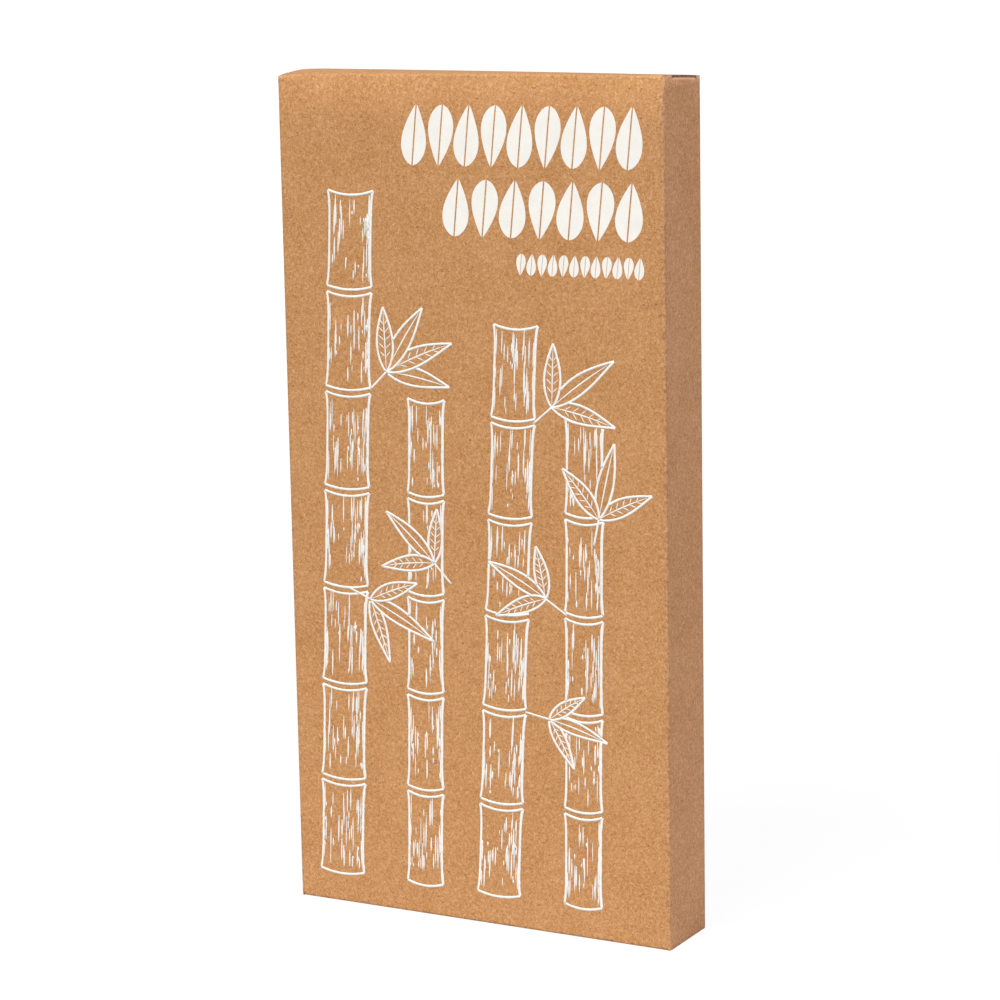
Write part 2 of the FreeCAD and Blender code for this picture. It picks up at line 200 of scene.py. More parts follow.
def split(point):
    parts = place(point.tree, "ShaderNodeSeparateXYZ", {0: point})
    return parts[0], parts[1], parts[2]


def millimetres(tree):
    """Object coordinates in millimetres."""
    return stretch(place(tree, "ShaderNodeTexCoord")["Object"], 1 / MM, 1 / MM, 1 / MM)


def new_tree(kind, name, inputs, outputs):
    """An empty node group of a kind, with named sockets, and its inputs as fields."""
    tree = bpy.data.node_groups.new(name, kind + "NodeTree")
    for way, sockets in (("INPUT", inputs), ("OUTPUT", outputs)):
        for label, socket in sockets.items():
            tree.interface.new_socket(label, in_out=way, socket_type="NodeSocket" + socket)
    return tree, place(tree, "NodeGroupInput")


def material(name, **plain):
    """A material with a Principled shader, whose plain values go straight onto its sockets."""
    made = bpy.data.materials.new(name)
    made.use_nodes = True
    for label, value in plain.items():
        made.node_tree.nodes["Principled BSDF"].inputs[label.replace("_", " ")].default_value = value
    return made


def feed(made, fields):
    """Links fields to the material's shader by the names of its inputs."""
    shader = made.node_tree.nodes["Principled BSDF"]
    for label, field in fields.items():
        made.node_tree.links.new(field.socket, shader.inputs[label])
    return made


def cover(made, surface, strength, depth):
    """Gives a material a surface's colour and roughness, and its height as a small relief."""
    relief = place(made.node_tree, "ShaderNodeBump",
                   {"Height": surface["Height"], "Strength": strength, "Distance": depth})
    return feed(made, {"Base Color": surface["Color"], "Roughness": surface["Roughness"],
                       "Normal": relief["Normal"]})


# Shared effects

# Layers of unevenness in the paper: cycles per millimetre, detail, roughness and weight
paper_layers = {
    "cloud": (0.07, 3.0, 0.5, 0.35),
    "mottle": (0.4, 3.0, 0.6, 0.25),
    "pulp": (1.25, 2.0, 0.6, 0.9),
    "grain": (2.6, 2.0, 0.7, 1.75),
}
surface_outputs = {"Color": "Color", "Roughness": "Float", "Height": "Float"}


def fibre_lines(point, scale, width):
    """Short curled lines where a noise crosses its middle, broken up by a second noise."""
    line = fade(abs(noise(point, scale, 1.5) - 0.5), 0.0, width)
    return line * ramp(noise(point, 1.1 * scale, 1.0), 0.5, 0.62)


def make_paper_fibres():
    """Recycled paper: soft clouds, short light and dark fibres, fine grain and dark flecks."""
    tree, given = new_tree("Shader", "paper_fibres",
                           {"Dark": "Color", "Light": "Color", "Fibre": "Color", "Fleck": "Color"},
                           surface_outputs)
    point = millimetres(tree)
    layers = {}
    for name, (scale, detail, roughness, weight) in paper_layers.items():
        layers[name] = noise(point, scale, detail, roughness), weight
    pulp, grain = layers["pulp"][0], layers["grain"][0]
    pale = fibre_lines(point, 0.75, 0.10)
    elsewhere = place(tree, "ShaderNodeVectorMath", {0: point, 1: (31, 17, 53)})[0]
    dark = fibre_lines(elsewhere, 0.85, 0.09)
    cells = place(tree, "ShaderNodeTexVoronoi", {"Vector": stretch(point, 1.0, 1.0, 1.6), "Scale": 0.5})
    chance = place(tree, "ShaderNodeSeparateColor", {0: cells["Color"]})[0]
    fleck_size = ramp(chance, 0.6, 1.0) * 0.15
    fleck = fade(cells["Distance"] - fleck_size, 0.0, 0.08) * ramp(chance, 0.6, 0.66)
    color = tint(layered(layers.values()), given["Dark"], given["Light"])
    for mark, shade in ((pale * 0.4, "Fibre"), (dark * 0.22, "Fleck"), (fleck * 0.6, "Fleck")):
        color = tint(mark, color, given[shade])
    place(tree, "NodeGroupOutput", {"Color": color, "Roughness": grain * 0.16 + 0.70,
                                    "Height": pale * 0.5 + (grain + pulp)})
    return tree


def make_fold_edge_mask():
    """A mask along the carton's folded edges, broken up like cracked paper fibres."""
    tree, given = new_tree("Shader", "fold_wear", {"Reach": "Float"}, {"Mask": "Float"})
    point = millimetres(tree)
    x, y, z = split(point)
    from_side = side_x / MM - abs(x)
    from_face = -front_y / MM - abs(y)
    from_end = z.least(top_z / MM - z)
    from_fold = from_side.least(from_face).most(from_side.most(from_face).least(from_end))
    rough_reach = given["Reach"] * (noise(point, 1.4, 3.0, 0.7) + 0.5)
    place(tree, "NodeGroupOutput", {"Mask": fade(from_fold / rough_reach, 0.25, 1.0)})
    return tree


def make_fine_grain():
    """The small unevenness of moulded, sintered or plated surfaces."""
    tree, given = new_tree("Shader", "fine_grain",
                           {"Color": "Color", "Scale": "Float", "Tone": "Float", "Rough": "Float",
                            "Rough spread": "Float"}, surface_outputs)
    point = millimetres(tree)
    grain = noise(point, given["Scale"], 3.0, 0.6)
    centred = noise(point, 0.12, 3.0) * 0.5 + grain * 0.5 - 0.5
    level = centred * (given["Tone"] * 4.0) + 1.0
    shade = place(tree, "ShaderNodeCombineColor", {0: level, 1: level, 2: level})[0]
    place(tree, "NodeGroupOutput", {"Color": tint(1.0, given["Color"], shade, "MULTIPLY"),
                                    "Roughness": centred * given["Rough spread"] + given["Rough"],
                                    "Height": grain})
    return tree


paper_fibres = make_paper_fibres()
fold_wear = make_fold_edge_mask()
fine_grain = make_fine_grain()


# Materials. A painted highlight lightens by its colour and fades out over its reach, in millimetres

kraft_tan = (0.412, 0.2020, 0.0755)
kraft_contrast = 0.29
contrast_shares = (1.0, 1.45, 2.4)
# Painted highlights, lighter as if catching the light: the front panel's top, its right top corner and the
# side walls' top band
front_painted_highlight, front_highlight_reach = (1.15, 1.15, 1.15, 1), 17.0
corner_painted_highlight, corner_highlight_reach = (1.08, 1.10, 1.14, 1), 22.0
side_painted_highlight, side_highlight_reach = (1.32, 1.36, 1.44, 1), 4.0
crack_reach = 1.7
kraft_inner = (0.36, 0.185, 0.08)
kraft_core = (0.15, 0.088, 0.05)
kraft_fibre = (0.62, 0.36, 0.18, 1)
kraft_fleck = (0.13, 0.055, 0.022, 1)
# Paler kraft along the folds: wear, and on the dust flaps also a painted highlight
kraft_worn_and_highlight = (0.56, 0.31, 0.14, 1)
white_low = (0.65, 0.63, 0.565, 1)
white_high = (0.74, 0.715, 0.64, 1)
bamboo_strip = 18.0
bamboo_joint = 145.0
bamboo_light = (0.78, 0.56, 0.30, 1)
bamboo_dark = (0.50, 0.305, 0.125, 1)
bamboo_mark = (0.25, 0.13, 0.05, 1)
run_pitch = 1.3
run_length = 9.0
mask_green = (0.012, 0.085, 0.03, 1)
run_green = (0.03, 0.16, 0.055, 1)
weave_green = (0.008, 0.05, 0.02, 1)


def paper(made, tone, contrast):
    """The paper effect about a tone: its paler spots are greyer, and its darker ones browner."""
    parts = [(value, contrast * share) for value, share in zip(tone, contrast_shares)]
    dark = tuple(value * (1 - part) for value, part in parts) + (1,)
    light = tuple(value * (1 + part) for value, part in parts) + (1,)
    return place(made.node_tree, "ShaderNodeGroup",
                 {"Dark": dark, "Light": light, "Fibre": kraft_fibre, "Fleck": kraft_fleck},
                 node_tree=paper_fibres)


def near_folds(made, reach):
    return place(made.node_tree, "ShaderNodeGroup", {"Reach": reach}, node_tree=fold_wear)["Mask"]


def kraft_card(name, wear_and_highlight_reach, wear_and_highlight):
    """The outer face: paler along its folds, by wear and, where the reach is wide as on the dust flaps, by a
    painted highlight; lighter by painted highlights towards the top of the front panel, by its right top
    corner and along the top of the side walls.
    """
    made = material(name, Specular_IOR_Level=0.2)
    surface = paper(made, kraft_tan, kraft_contrast)
    point = millimetres(made.node_tree)
    x, y, z = split(point)
    front, fold, side, top = front_y / MM, fold_x / MM, side_x / MM, top_z / MM
    # Paler along the folds: wear, which on the dust flaps, with its wide reach and strength, is also a
    # painted highlight
    color = tint(near_folds(made, wear_and_highlight_reach) * wear_and_highlight, surface["Color"], kraft_worn_and_highlight)
    cracked = near_folds(made, crack_reach) * ramp(noise(point, 0.9, 3.0), 0.5, 0.62)
    color = tint(cracked * 0.4, color, kraft_fleck)
    in_front = fade(y, front + 0.9, front + 1.6)
    near_top = ramp(z, top - front_highlight_reach, top)
    by_corner = near_top * ramp(x, fold - corner_highlight_reach, fold - 4)
    on_side = ramp(abs(x), side - 0.3, side - 0.1)
    near_flap = ramp(z, top - side_highlight_reach, top - 1)
    # Painted highlights over the front panel's top, its right top corner and the side walls' top band
    for mask, highlight in ((near_top * in_front, front_painted_highlight), (by_corner * in_front, corner_painted_highlight),
                      (near_flap * on_side, side_painted_highlight)):
        color = tint(mask, color, highlight, "MULTIPLY")
    return cover(made, {**surface, "Color": color}, 0.5, 0.04 * MM)


def bare_paper(name, tone, contrast, strength, depth):
    """An unprinted face or edge of the card."""
    made = material(name)
    return cover(made, paper(made, tone, contrast), strength, depth)


def white_ink():
    """Screen-printed white, with pinholes where the paper shows through."""
    made = material("white_ink")
    surface = paper(made, kraft_tan, kraft_contrast)
    point = millimetres(made.node_tree)
    speckle = noise(point, 2.6, 3.0, 0.7)
    pinhole = fade(speckle, 0.27, 0.36)
    tone = tint(noise(point, 0.3, 3.0), white_low, white_high)
    color = tint(pinhole * 0.7, tone, surface["Color"])
    return cover(made, {**surface, "Color": color, "Roughness": speckle * 0.2 + 0.5}, 0.3, 0.03 * MM)


def bamboo_tray_finish():
    """Oiled laminated bamboo: strips of their own tone, long fibres, faint joints and thin seams."""
    made = material("bamboo", Coat_Weight=0.08, Coat_Roughness=0.3)
    point = millimetres(made.node_tree)
    x, _, z = split(point)
    along = x * (1 / bamboo_strip) + 0.37
    pick = place(made.node_tree, "ShaderNodeTexWhiteNoise", {"W": along.whole()},
                 noise_dimensions="1D")["Value"]
    seam = ramp(abs(along.fraction() - 0.5), 0.488, 0.497)
    fibre = noise(stretch(point, 1.0, 1.0, 0.02), 2.6, 4.0, 0.65)
    streak = noise(stretch(point, 1.0, 1.0, 0.012), 0.45, 3.0)
    wander = noise(point, 0.25, 2.0) * 1.1
    cell = ((z + wander) * (1 / bamboo_joint) + pick).fraction()
    joint = fade(abs(cell - 0.5) * bamboo_joint, 0.1, 1.5)
    color = tint(layered(((pick, 0.55), (fibre, 1.1), (streak, 0.8))), bamboo_dark, bamboo_light)
    color = tint(joint * 0.42, color, bamboo_mark)
    color = tint(seam * 0.5, color, bamboo_mark)
    height = fibre - seam.most(joint * 0.5)
    return cover(made, {"Color": color, "Roughness": fibre * 0.25 + 0.33, "Height": height}, 0.35, 0.06 * MM)


def copper_runs(along, across):
    """Straight copper runs side by side, each broken into lengths of its own."""
    lane_place = across / run_pitch
    line = fade(abs(lane_place.fraction() - 0.5), 0.12, 0.2)
    lane = lane_place.whole() * 7.3
    chance = place(along.tree, "ShaderNodeCombineXYZ", {0: along / run_length, 1: lane})[0]
    return line * ramp(noise(chance, 1.0, 0.0), 0.55, 0.57)


def board_laminate_finish():
    """Green solder mask over copper runs, which show as paler lines."""
    made = material("board_laminate")
    point = millimetres(made.node_tree)
    x, _, z = split(point)
    runs = copper_runs(x, z).most(copper_runs(z, x))
    weave = noise(point, 1.8, 2.0)
    color = tint(weave * 0.3, tint(runs, mask_green, run_green), weave_green)
    height = weave * 0.15 + runs
    return cover(made, {"Color": color, "Roughness": weave * 0.2 + 0.28, "Height": height}, 0.5, 0.05 * MM)


def fine_finish(name, color, scale, tone, rough, rough_spread, bump, metal):
    """A moulded, plated or drawn surface with its fine grain."""
    made = material(name, Metallic=metal)
    surface = place(made.node_tree, "ShaderNodeGroup",
                    {"Color": color, "Scale": scale, "Tone": tone, "Rough": rough,
                     "Rough spread": rough_spread}, node_tree=fine_grain)
    return cover(made, surface, bump, 0.03 * MM)


# Colour, cycles per millimetre, tone, roughness and its spread, bump and metal of the small finishes
fine_values = {
    "cover_plastic": ((0.032, 0.032, 0.034, 1), 5.0, 0.25, 0.55, 0.5, 0.5, 0.0),
    "chip_plastic": ((0.02, 0.02, 0.022, 1), 7.0, 0.3, 0.62, 0.4, 0.4, 0.0),
    "ferrite": ((0.055, 0.053, 0.056, 1), 9.0, 0.35, 0.75, 0.3, 0.6, 0.0),
    "foot_rubber": ((0.026, 0.026, 0.027, 1), 6.0, 0.3, 0.82, 0.3, 0.5, 0.0),
    "screw_steel": ((0.58, 0.57, 0.55, 1), 3.0, 0.12, 0.33, 0.8, 0.2, 1.0),
    "can_aluminium": ((0.76, 0.76, 0.77, 1), 4.0, 0.1, 0.3, 0.7, 0.2, 1.0),
    "copper_wire": ((0.82, 0.40, 0.22, 1), 6.0, 0.2, 0.34, 0.6, 0.3, 1.0),
    "solder_tin": ((0.70, 0.70, 0.71, 1), 5.0, 0.12, 0.28, 0.8, 0.25, 1.0),
}
finishes = {"bamboo": bamboo_tray_finish(), "board_laminate": board_laminate_finish()}
for finish_name, finish_values in fine_values.items():
    finishes[finish_name] = fine_finish(finish_name, *finish_values)
kraft = kraft_card("kraft_card", 1.3, 0.12)
# The dust flaps' folds, paler over a wider reach: wear and a painted highlight on the fold that sits in the
# lid's shade
kraft_flap = kraft_card("kraft_flap", 3.5, 0.5)
kraft_back = bare_paper("kraft_inside", kraft_inner, 0.3, 0.5, 0.04 * MM)
cut_edge = bare_paper("card_edge", kraft_core, 0.38, 0.8, 0.08 * MM)
ink = white_ink()


# Mesh pieces. Edges sharper than these angles, in degrees, stay sharp

card_crease, part_crease = 40, 35


def new_object(name, mesh, *materials):
    for one in materials:
        mesh.materials.append(one)
    made = bpy.data.objects.new(name, mesh)
    bpy.context.scene.collection.objects.link(made)
    return made


def smooth(mesh, crease):
    """Smooth shading, but for edges sharper than crease."""
    mesh.polygons.foreach_set("use_smooth", [True] * len(mesh.polygons))
    mesh.set_sharp_from_angle(angle=math.radians(crease))


def worked_object(name, work, crease=None, *materials):
    """An object from finished mesh work, with its faces turned outwards."""
    bmesh.ops.recalc_face_normals(work, faces=work.faces)
    mesh = bpy.data.meshes.new(name)
    work.to_mesh(mesh)
    work.free()
    if crease:
        smooth(mesh, crease)
    return new_object(name, mesh, *materials)


def spread(count, low, high):
    """Evenly spaced values from low to high."""
    return [low + (high - low) * i / (count - 1) for i in range(count)]


def mix(low, high, share):
    return low + (high - low) * share


def card_sheet(name, rows, outward, face=None):
    """A sheet of card from rows of points on its outer face, with its inner face and cut edges.
    outward is a direction that the outer face roughly looks along at its first point."""
    height, width = len(rows), len(rows[0])
    count = height * width

    def normal(i, j):
        along = rows[min(i + 1, height - 1)][j] - rows[max(i - 1, 0)][j]
        across = rows[i][min(j + 1, width - 1)] - rows[i][max(j - 1, 0)]
        return along.cross(across).normalized()

    turn = 1 if normal(0, width // 2).dot(Vector(outward)) > 0 else -1
    spots = [(i, j) for i in range(height) for j in range(width)]
    outer = [rows[i][j] for i, j in spots]
    inner = [rows[i][j] - normal(i, j) * turn * card for i, j in spots]
    faces, looks = [], []
    for i in range(height - 1):
        for j in range(width - 1):
            first = i * width + j
            quad = [first, first + 1, first + width + 1, first + width][::-turn]
            faces += [quad, [v + count for v in quad[::-1]]]
            looks += [0, 1]
    rim = list(range(width))
    rim += [i * width + width - 1 for i in range(1, height)]
    rim += [(height - 1) * width + j for j in range(width - 2, -1, -1)]
    rim += [i * width for i in range(height - 2, 0, -1)]
    for ends in zip(rim, rim[1:] + rim[:1]):
        a, b = ends[::turn]
        faces.append([a, b, b + count, a + count])
        looks.append(2)
    mesh = bpy.data.meshes.new(name)
    mesh.from_pydata(outer + inner, [], faces)
    mesh.polygons.foreach_set("material_index", looks)
    smooth(mesh, card_crease)
    return new_object(name, mesh, face or kraft, kraft_back, cut_edge)


# Carton

def between(left, right, x):
    """A value that runs straight from the carton's left side to its right."""
    return left + (right - left) * (x + side_x) / (2 * side_x)


def arc_step(radius, start, angle):
    """The step in Y and Z round a bend, from one slope to another."""
    return Vector((0, radius * (math.sin(start) - math.sin(angle)),
                   radius * (math.cos(angle) - math.cos(start))))


def fold_start(x):
    """The height at which the front panel turns into the top fold."""
    arch = fold_arch * (1 - (x / side_x) ** 2)
    pressed = corner_press * max(0.0, 1 - (x + side_x) / corner_reach) ** 2
    return top_z - top_fold_radius - between(fold_drop_left, fold_drop_right, x) + arch - pressed


def curl(x, z):
    """How far the front panel leans back near its top. The side walls hold its corners square."""
    rise = max(0.0, (z - curl_start_z) / curl_height)
    held = min(1.0, max(0.0, (fold_x - abs(x)) / curl_hold))
    return curl_depth * rise ** 2 * held ** 2 * (3 - 2 * held)


def curl_slope(x):
    """The angle at which the front panel leans back where its top fold starts."""
    step = 0.01 * MM
    return math.atan((curl(x, fold_start(x)) - curl(x, fold_start(x) - step)) / step)


def lid_slope(x):
    """The angle at which the lid leaves its fold, for the crown that it has at this x."""
    chord = lid_high.y - front_y
    return 2 * math.atan(2 * between(crown_left, crown_right, x) / chord)


def front_point(x, z):
    return Vector((x, front_y + curl(x, z), z))


def fold_point(x, share):
    """A point round the top fold, from the front panel at 0 to the lid at 1."""
    start = math.pi / 2 - curl_slope(x)
    return front_point(x, fold_start(x)) + arc_step(top_fold_radius, start, mix(start, lid_slope(x), share))


def lid_point(x, share):
    """A point on the crowned lid, from its fold at 0 to its far edge at 1."""
    start = fold_point(x, 1)
    slope = lid_slope(x)
    radius = (lid_high.y - start.y) / (2 * math.sin(slope))
    far_z = top_z - between(far_drop_left, far_drop_right, x)
    fall = Vector((0, 0, (far_z - start.z) * share))
    return start + arc_step(radius, slope, slope * (1 - 2 * share)) + fall


def lid_height(x, y):
    """The height of the fold or lid above the point (x, y)."""
    low, high = 0.0, 2.0
    for _ in range(40):
        middle = (low + high) / 2
        point = fold_point(x, middle) if middle < 1 else lid_point(x, middle - 1)
        low, high = (middle, high) if point.y < y else (low, middle)
    return point.z


curl_levels = spread(8, curl_start_z, curl_end_z)


def front_card():
    columns = spread(41, -fold_x, fold_x)
    rows = [[front_point(x, z) for x in columns] for z in [front_low.z] + curl_levels]
    rows += [[front_point(x, mix(curl_end_z, fold_start(x), share)) for x in columns]
             for share in spread(7, 0, 1)[1:]]
    return card_sheet("front_card", rows, (0, -1, 0))


def back_top(x):
    return top_z - back_top_drop - between(far_drop_left, far_drop_right, x)


def back_card():
    """The back wall, a little lower at the right, where the lid sinks."""
    columns = spread(9, back_low.x, back_high.x)
    rows = [[Vector((x, back_high.y, mix(back_low.z, back_top(x), share))) for x in columns]
            for share in spread(5, 0, 1)]
    return card_sheet("back_card", rows, (0, 1, 0))


def lid_card():
    columns = spread(41, lid_low.x, lid_high.x)
    rows = [[fold_point(x, share) for x in columns] for share in spread(11, 0, 1)]
    rows += [[lid_point(x, share) for x in columns] for share in spread(25, 0, 1)[1:]]
    return card_sheet("lid_card", rows, (0, -1, 0))


def flap_fold_z(x, y):
    """Where the side wall turns into its dust flap, just under the lid."""
    return lid_height(x, y) - card - flap_lid_gap - flap_fold_radius


def side_card(name, side, back_y):
    """A side wall with rounded upright folds, a shoulder at each end and the dust flap's fold between."""
    lid_end = side * lid_high.x
    arc = [math.radians(a) for a in spread(8, 0, 90)]
    front_turn, back_turn = front_y + fold_radius, back_y - fold_radius
    places = [(fold_x + fold_radius * math.sin(a), front_turn - fold_radius * math.cos(a)) for a in arc]
    straight = spread(5, front_turn, shoulder_end_y)[1:]
    straight += spread(11, shoulder_end_y + shoulder_cut, rear_shoulder_y)
    straight += spread(3, rear_shoulder_y + shoulder_cut, back_turn)
    places += [(side_x, y) for y in straight]
    places += [(fold_x + fold_radius * math.cos(a), back_turn + fold_radius * math.sin(a)) for a in arc[1:]]

    def top(y):
        if y <= shoulder_end_y:
            return lid_height(lid_end, y)
        return flap_fold_z(lid_end, y) if y <= rear_shoulder_y else back_top(lid_end)

    columns = [(side * x, y, top(y)) for x, y in places]
    rows = [[Vector((x, y, mix(side_foot_z, high, share))) for x, y, high in columns]
            for share in spread(6, 0, 1)]
    return card_sheet(name, rows, (side, 0, 0))


def dust_flap_card(name, side):
    """A dust flap that springs up from its fold under the lid, then falls away to its rounded tip."""
    columns = spread(17, 0, 1)
    rows = []
    for degrees in spread(7, 0, 80):
        angle = math.radians(degrees)
        x = side * (side_x - flap_fold_radius * (1 - math.cos(angle)))
        row = []
        for share in columns:
            y = mix(flap_front[0], flap_back[0], share)
            fold = flap_fold_z(side * lid_high.x, y)
            row.append(Vector((x, y, fold + flap_fold_radius * math.sin(angle))))
        rows.append(row)
    bend = rows[-1]
    for reach in spread(16, 0, 1)[1:]:
        front, back = mix(*flap_front, reach), mix(*flap_back, reach)
        fall = 1 - (1 - reach) ** 3
        row = []
        for share, start in zip(columns, bend):
            tip_x = flap_low.x + flap_tip_round * abs(2 * share - 1) ** 5
            x = side * mix(abs(start.x), tip_x, reach)
            row.append(Vector((x, mix(front, back, share), mix(start.z, flap_high.z, fall))))
        rows.append(row)
    return card_sheet(name, rows, (side, 0, 0), kraft_flap)


def tuck_card():
    """The lid's tongue: the far fold, then a strip that leans inward to a rounded lower edge."""
    columns = spread(33, tuck_low.x, tuck_high.x)

    def round_fold(x, share):
        start = -lid_slope(x)
        return lid_point(x, 1) + arc_step(tuck_radius, start, mix(start, -math.pi / 2 - tuck_lean, share))

    def down_strip(x, start, reach):
        inset = max(0.0, abs(x) - tuck_high.x + tuck_corner) / tuck_corner
        drop = start.z - tuck_low.z - tuck_corner * (1 - math.sqrt(1 - inset ** 2))
        return start + Vector((0, -math.tan(tuck_lean), -1)) * drop * reach

    rows = [[round_fold(x, share) for x in columns] for share in spread(9, 0, 1)]
    ends = rows[-1]
    rows += [[down_strip(x, start, reach) for x, start in zip(columns, ends)]
             for reach in spread(10, 0, 1)[1:]]
    return card_sheet("tuck_card", rows, (0, 0, 1))


# Geometry trees, for the print and for the organizer's small pieces

# Wobbles per metre along a printed line, how much they count, and the coil wire's strands and their dip
unsteady_scale, unsteady = 900.0, 0.9
wire_strands, strand_dip = 7, 0.82


def geometry_tree(name, **inputs):
    """An empty geometry tree with a geometry socket each way, named inputs and a finish."""
    return new_tree("Geometry", name, {"Geometry": "Geometry", **inputs, "Finish": "Material"},
                    {"Geometry": "Geometry"})


def end_tree(given, geometry):
    """Makes a tree's instances real, gives them the finish and puts them out."""
    tree = geometry.tree
    real = place(tree, "GeometryNodeRealizeInstances", {0: geometry})[0]
    done = place(tree, "GeometryNodeSetMaterial", {"Geometry": real, "Material": given["Finish"]})[0]
    place(tree, "NodeGroupOutput", {"Geometry": done})
    return tree


def grow(piece, tree, inputs):
    """Runs a geometry tree on a piece and keeps the result as its plain mesh."""
    modifier = piece.modifiers.new(tree.name, "NODES")
    modifier.node_group = tree
    for item in tree.interface.items_tree:
        if item.name in inputs:
            modifier[item.identifier] = inputs[item.name]
    evaluated = piece.evaluated_get(bpy.context.evaluated_depsgraph_get())
    mesh = bpy.data.meshes.new_from_object(evaluated)
    piece.modifiers.clear()
    piece.data = mesh
    mesh.name = piece.name
    return piece


def marks(name, points, edges=(), **values):
    """Points and lines that carry named values, for a tree to work on."""
    mesh = bpy.data.meshes.new(name)
    mesh.from_pydata(points, edges, [])
    for label, numbers in values.items():
        mesh.attributes.new(label, "FLOAT", "POINT").data.foreach_set("value", numbers)
    return new_object(name, mesh)


def attribute(tree, label):
    return place(tree, "GeometryNodeInputNamedAttribute", {"Name": label}, data_type="FLOAT")[0]


def make_stamps():
    """Stands a shape on every point, turned and sized by the point's values."""
    tree, given = geometry_tree("stamps", Shape="Object")
    size = attribute(tree, "size")
    shape = place(tree, "GeometryNodeObjectInfo", {"Object": given["Shape"]})["Geometry"]
    turn = place(tree, "ShaderNodeCombineXYZ", {1: attribute(tree, "turn")})[0]
    scale = place(tree, "ShaderNodeCombineXYZ", {0: size * attribute(tree, "width"), 1: 1.0, 2: size})[0]
    stamped = place(tree, "GeometryNodeInstanceOnPoints",
                    {"Points": given["Geometry"], "Instance": shape, "Rotation": turn, "Scale": scale})[0]
    return end_tree(given, stamped)


def make_strokes():
    """Turns polylines into flat ribbons of ink, as wide as their points say, with an unsteady edge."""
    tree, given = geometry_tree("strokes", Unsteady="Float")
    curve = place(tree, "GeometryNodeMeshToCurve", {0: given["Geometry"]})[0]
    wobble = noise(place(tree, "GeometryNodeInputPosition")[0], unsteady_scale)
    width = attribute(tree, "width") * ((wobble - 0.5) * given["Unsteady"] + 1.0)
    facing = place(tree, "GeometryNodeSetCurveNormal", {"Curve": curve, "Normal": (0, -1, 0)},
                   mode="FREE")[0]
    across = place(tree, "GeometryNodeCurvePrimitiveLine", {"Start": (0, -0.5, 0), "End": (0, 0.5, 0)})[0]
    ribbon = place(tree, "GeometryNodeCurveToMesh",
                   {"Curve": facing, "Profile Curve": across, "Scale": width})[0]
    away = place(tree, "ShaderNodeCombineXYZ", {1: attribute(tree, "lift") * -1.0})[0]
    lifted = place(tree, "GeometryNodeExtrudeMesh",
                   {"Mesh": ribbon, "Offset": away, "Offset Scale": 1.0, "Individual": False})[0]
    under = place(tree, "GeometryNodeFlipFaces", {0: ribbon})[0]
    both = place(tree, "GeometryNodeJoinGeometry", {0: [under, lifted]})[0]
    welded = place(tree, "GeometryNodeMergeByDistance", {0: both, "Distance": 1e-7})[0]
    return end_tree(given, welded)


def make_winding():
    """A flat spiral of stranded wire: a lobed section twisted along the spiral."""
    tree, given = geometry_tree("winding", Turns="Float", Inner="Float", Outer="Float", Wire="Float",
                                Twist="Float")
    spiral = place(tree, "GeometryNodeCurveSpiral",
                   {"Resolution": 80, "Rotations": given["Turns"], "Start Radius": given["Inner"],
                    "End Radius": given["Outer"], "Height": 0.0})[0]
    upright = place(tree, "GeometryNodeTransform", {"Geometry": spiral, "Rotation": (math.pi / 2, 0, 0)})[0]
    along = place(tree, "GeometryNodeSplineParameter")["Factor"]
    twisted = place(tree, "GeometryNodeSetCurveTilt", {"Curve": upright, "Tilt": along * given["Twist"]})[0]
    section = place(tree, "GeometryNodeCurveStar",
                    {"Points": wire_strands, "Inner Radius": given["Wire"] * strand_dip,
                     "Outer Radius": given["Wire"]})["Curve"]
    wire = place(tree, "GeometryNodeCurveToMesh",
                 {"Curve": twisted, "Profile Curve": section, "Fill Caps": True})[0]
    return end_tree(given, wire)


stamps = make_stamps()
strokes = make_strokes()


def stamp(name, shape, finish, places, turns=None, sizes=None, widths=None):
    """Stands copies of a shape on the given places, as one piece with one finish."""
    count = len(places)
    points = marks(name, places, turn=turns or [0.0] * count, size=sizes or [1.0] * count,
                   width=widths or [1.0] * count)
    piece = grow(points, stamps, {"Shape": shape, "Finish": finish})
    bpy.data.objects.remove(shape)
    return piece


def add_plate(work, outline, thick):
    """Adds a flat plate in X and Z, with its thickness along -Y."""
    face = work.faces.new([work.verts.new((x, 0, z)) for x, z in outline])
    raised = bmesh.ops.extrude_face_region(work, geom=[face], use_keep_orig=True)
    moved = [v for v in raised["geom"] if isinstance(v, bmesh.types.BMVert)]
    bmesh.ops.translate(work, vec=(0, -thick, 0), verts=moved)


# Print: rows of leaves, and a stand of bamboo in white line

# Ink: its depth in the card, its thickness, and the layers that keep crossing lines apart
ink_sunk = 0.02 * MM
ink_thickness = 0.04 * MM
ink_layer, ink_layers, ink_layer_step = 0.0008 * MM, 64, 7

# A solid leaf of height 1, its turn in degrees, and the right edge of the rows in millimetres
leaf_slit, leaf_bulge, leaf_notch = 0.012, 0.2, 0.02
leaf_turn = 6
leaf_rows_right = 119.0

# Each row's count of leaves, pitch, middle below the panel's top, and leaf height in millimetres,
# and how much wider its leaves are
leaf_rows = ((9, 8.6, 17.5, 17.5, 1.1), (7, 9.2, 38.0, 16.5, 1.22), (12, 3.4, 53.5, 6.2, 1.15))

# Line widths of the drawing, in millimetres
stem_line = {-1: 0.7, 1: 0.85}
ring_line, leaf_line, midrib_line, vein_line, twig_line = 0.75, 0.7, 0.45, 0.3, 0.6
grain_line_low, grain_line_high = 0.22, 0.55

# Grain lines on a stem: how many for its width, how far to the sides, and their lengths and gaps
grain_lines_per_width, grain_reach, grain_edge_bias = 3.2, 0.44, 1.6
grain_shortest, grain_longest, grain_joint_gap, grain_least = 1.0, 9.0, 1.2, 0.6

# Joints and outline of a stem, then the twigs, and how far their leaves droop, fan out and shrink
joint_gap, ring_half = 0.9, 0.51
ring_bow_low, ring_bow_high = 1.1, 1.3
waist, flare = 0.93, 0.09
drawing_seed = 11
twig_length = 8
leaf_droop, leaf_fan, leaf_shrink, leaf_slim = 0.10, 48, 0.22, 0.2

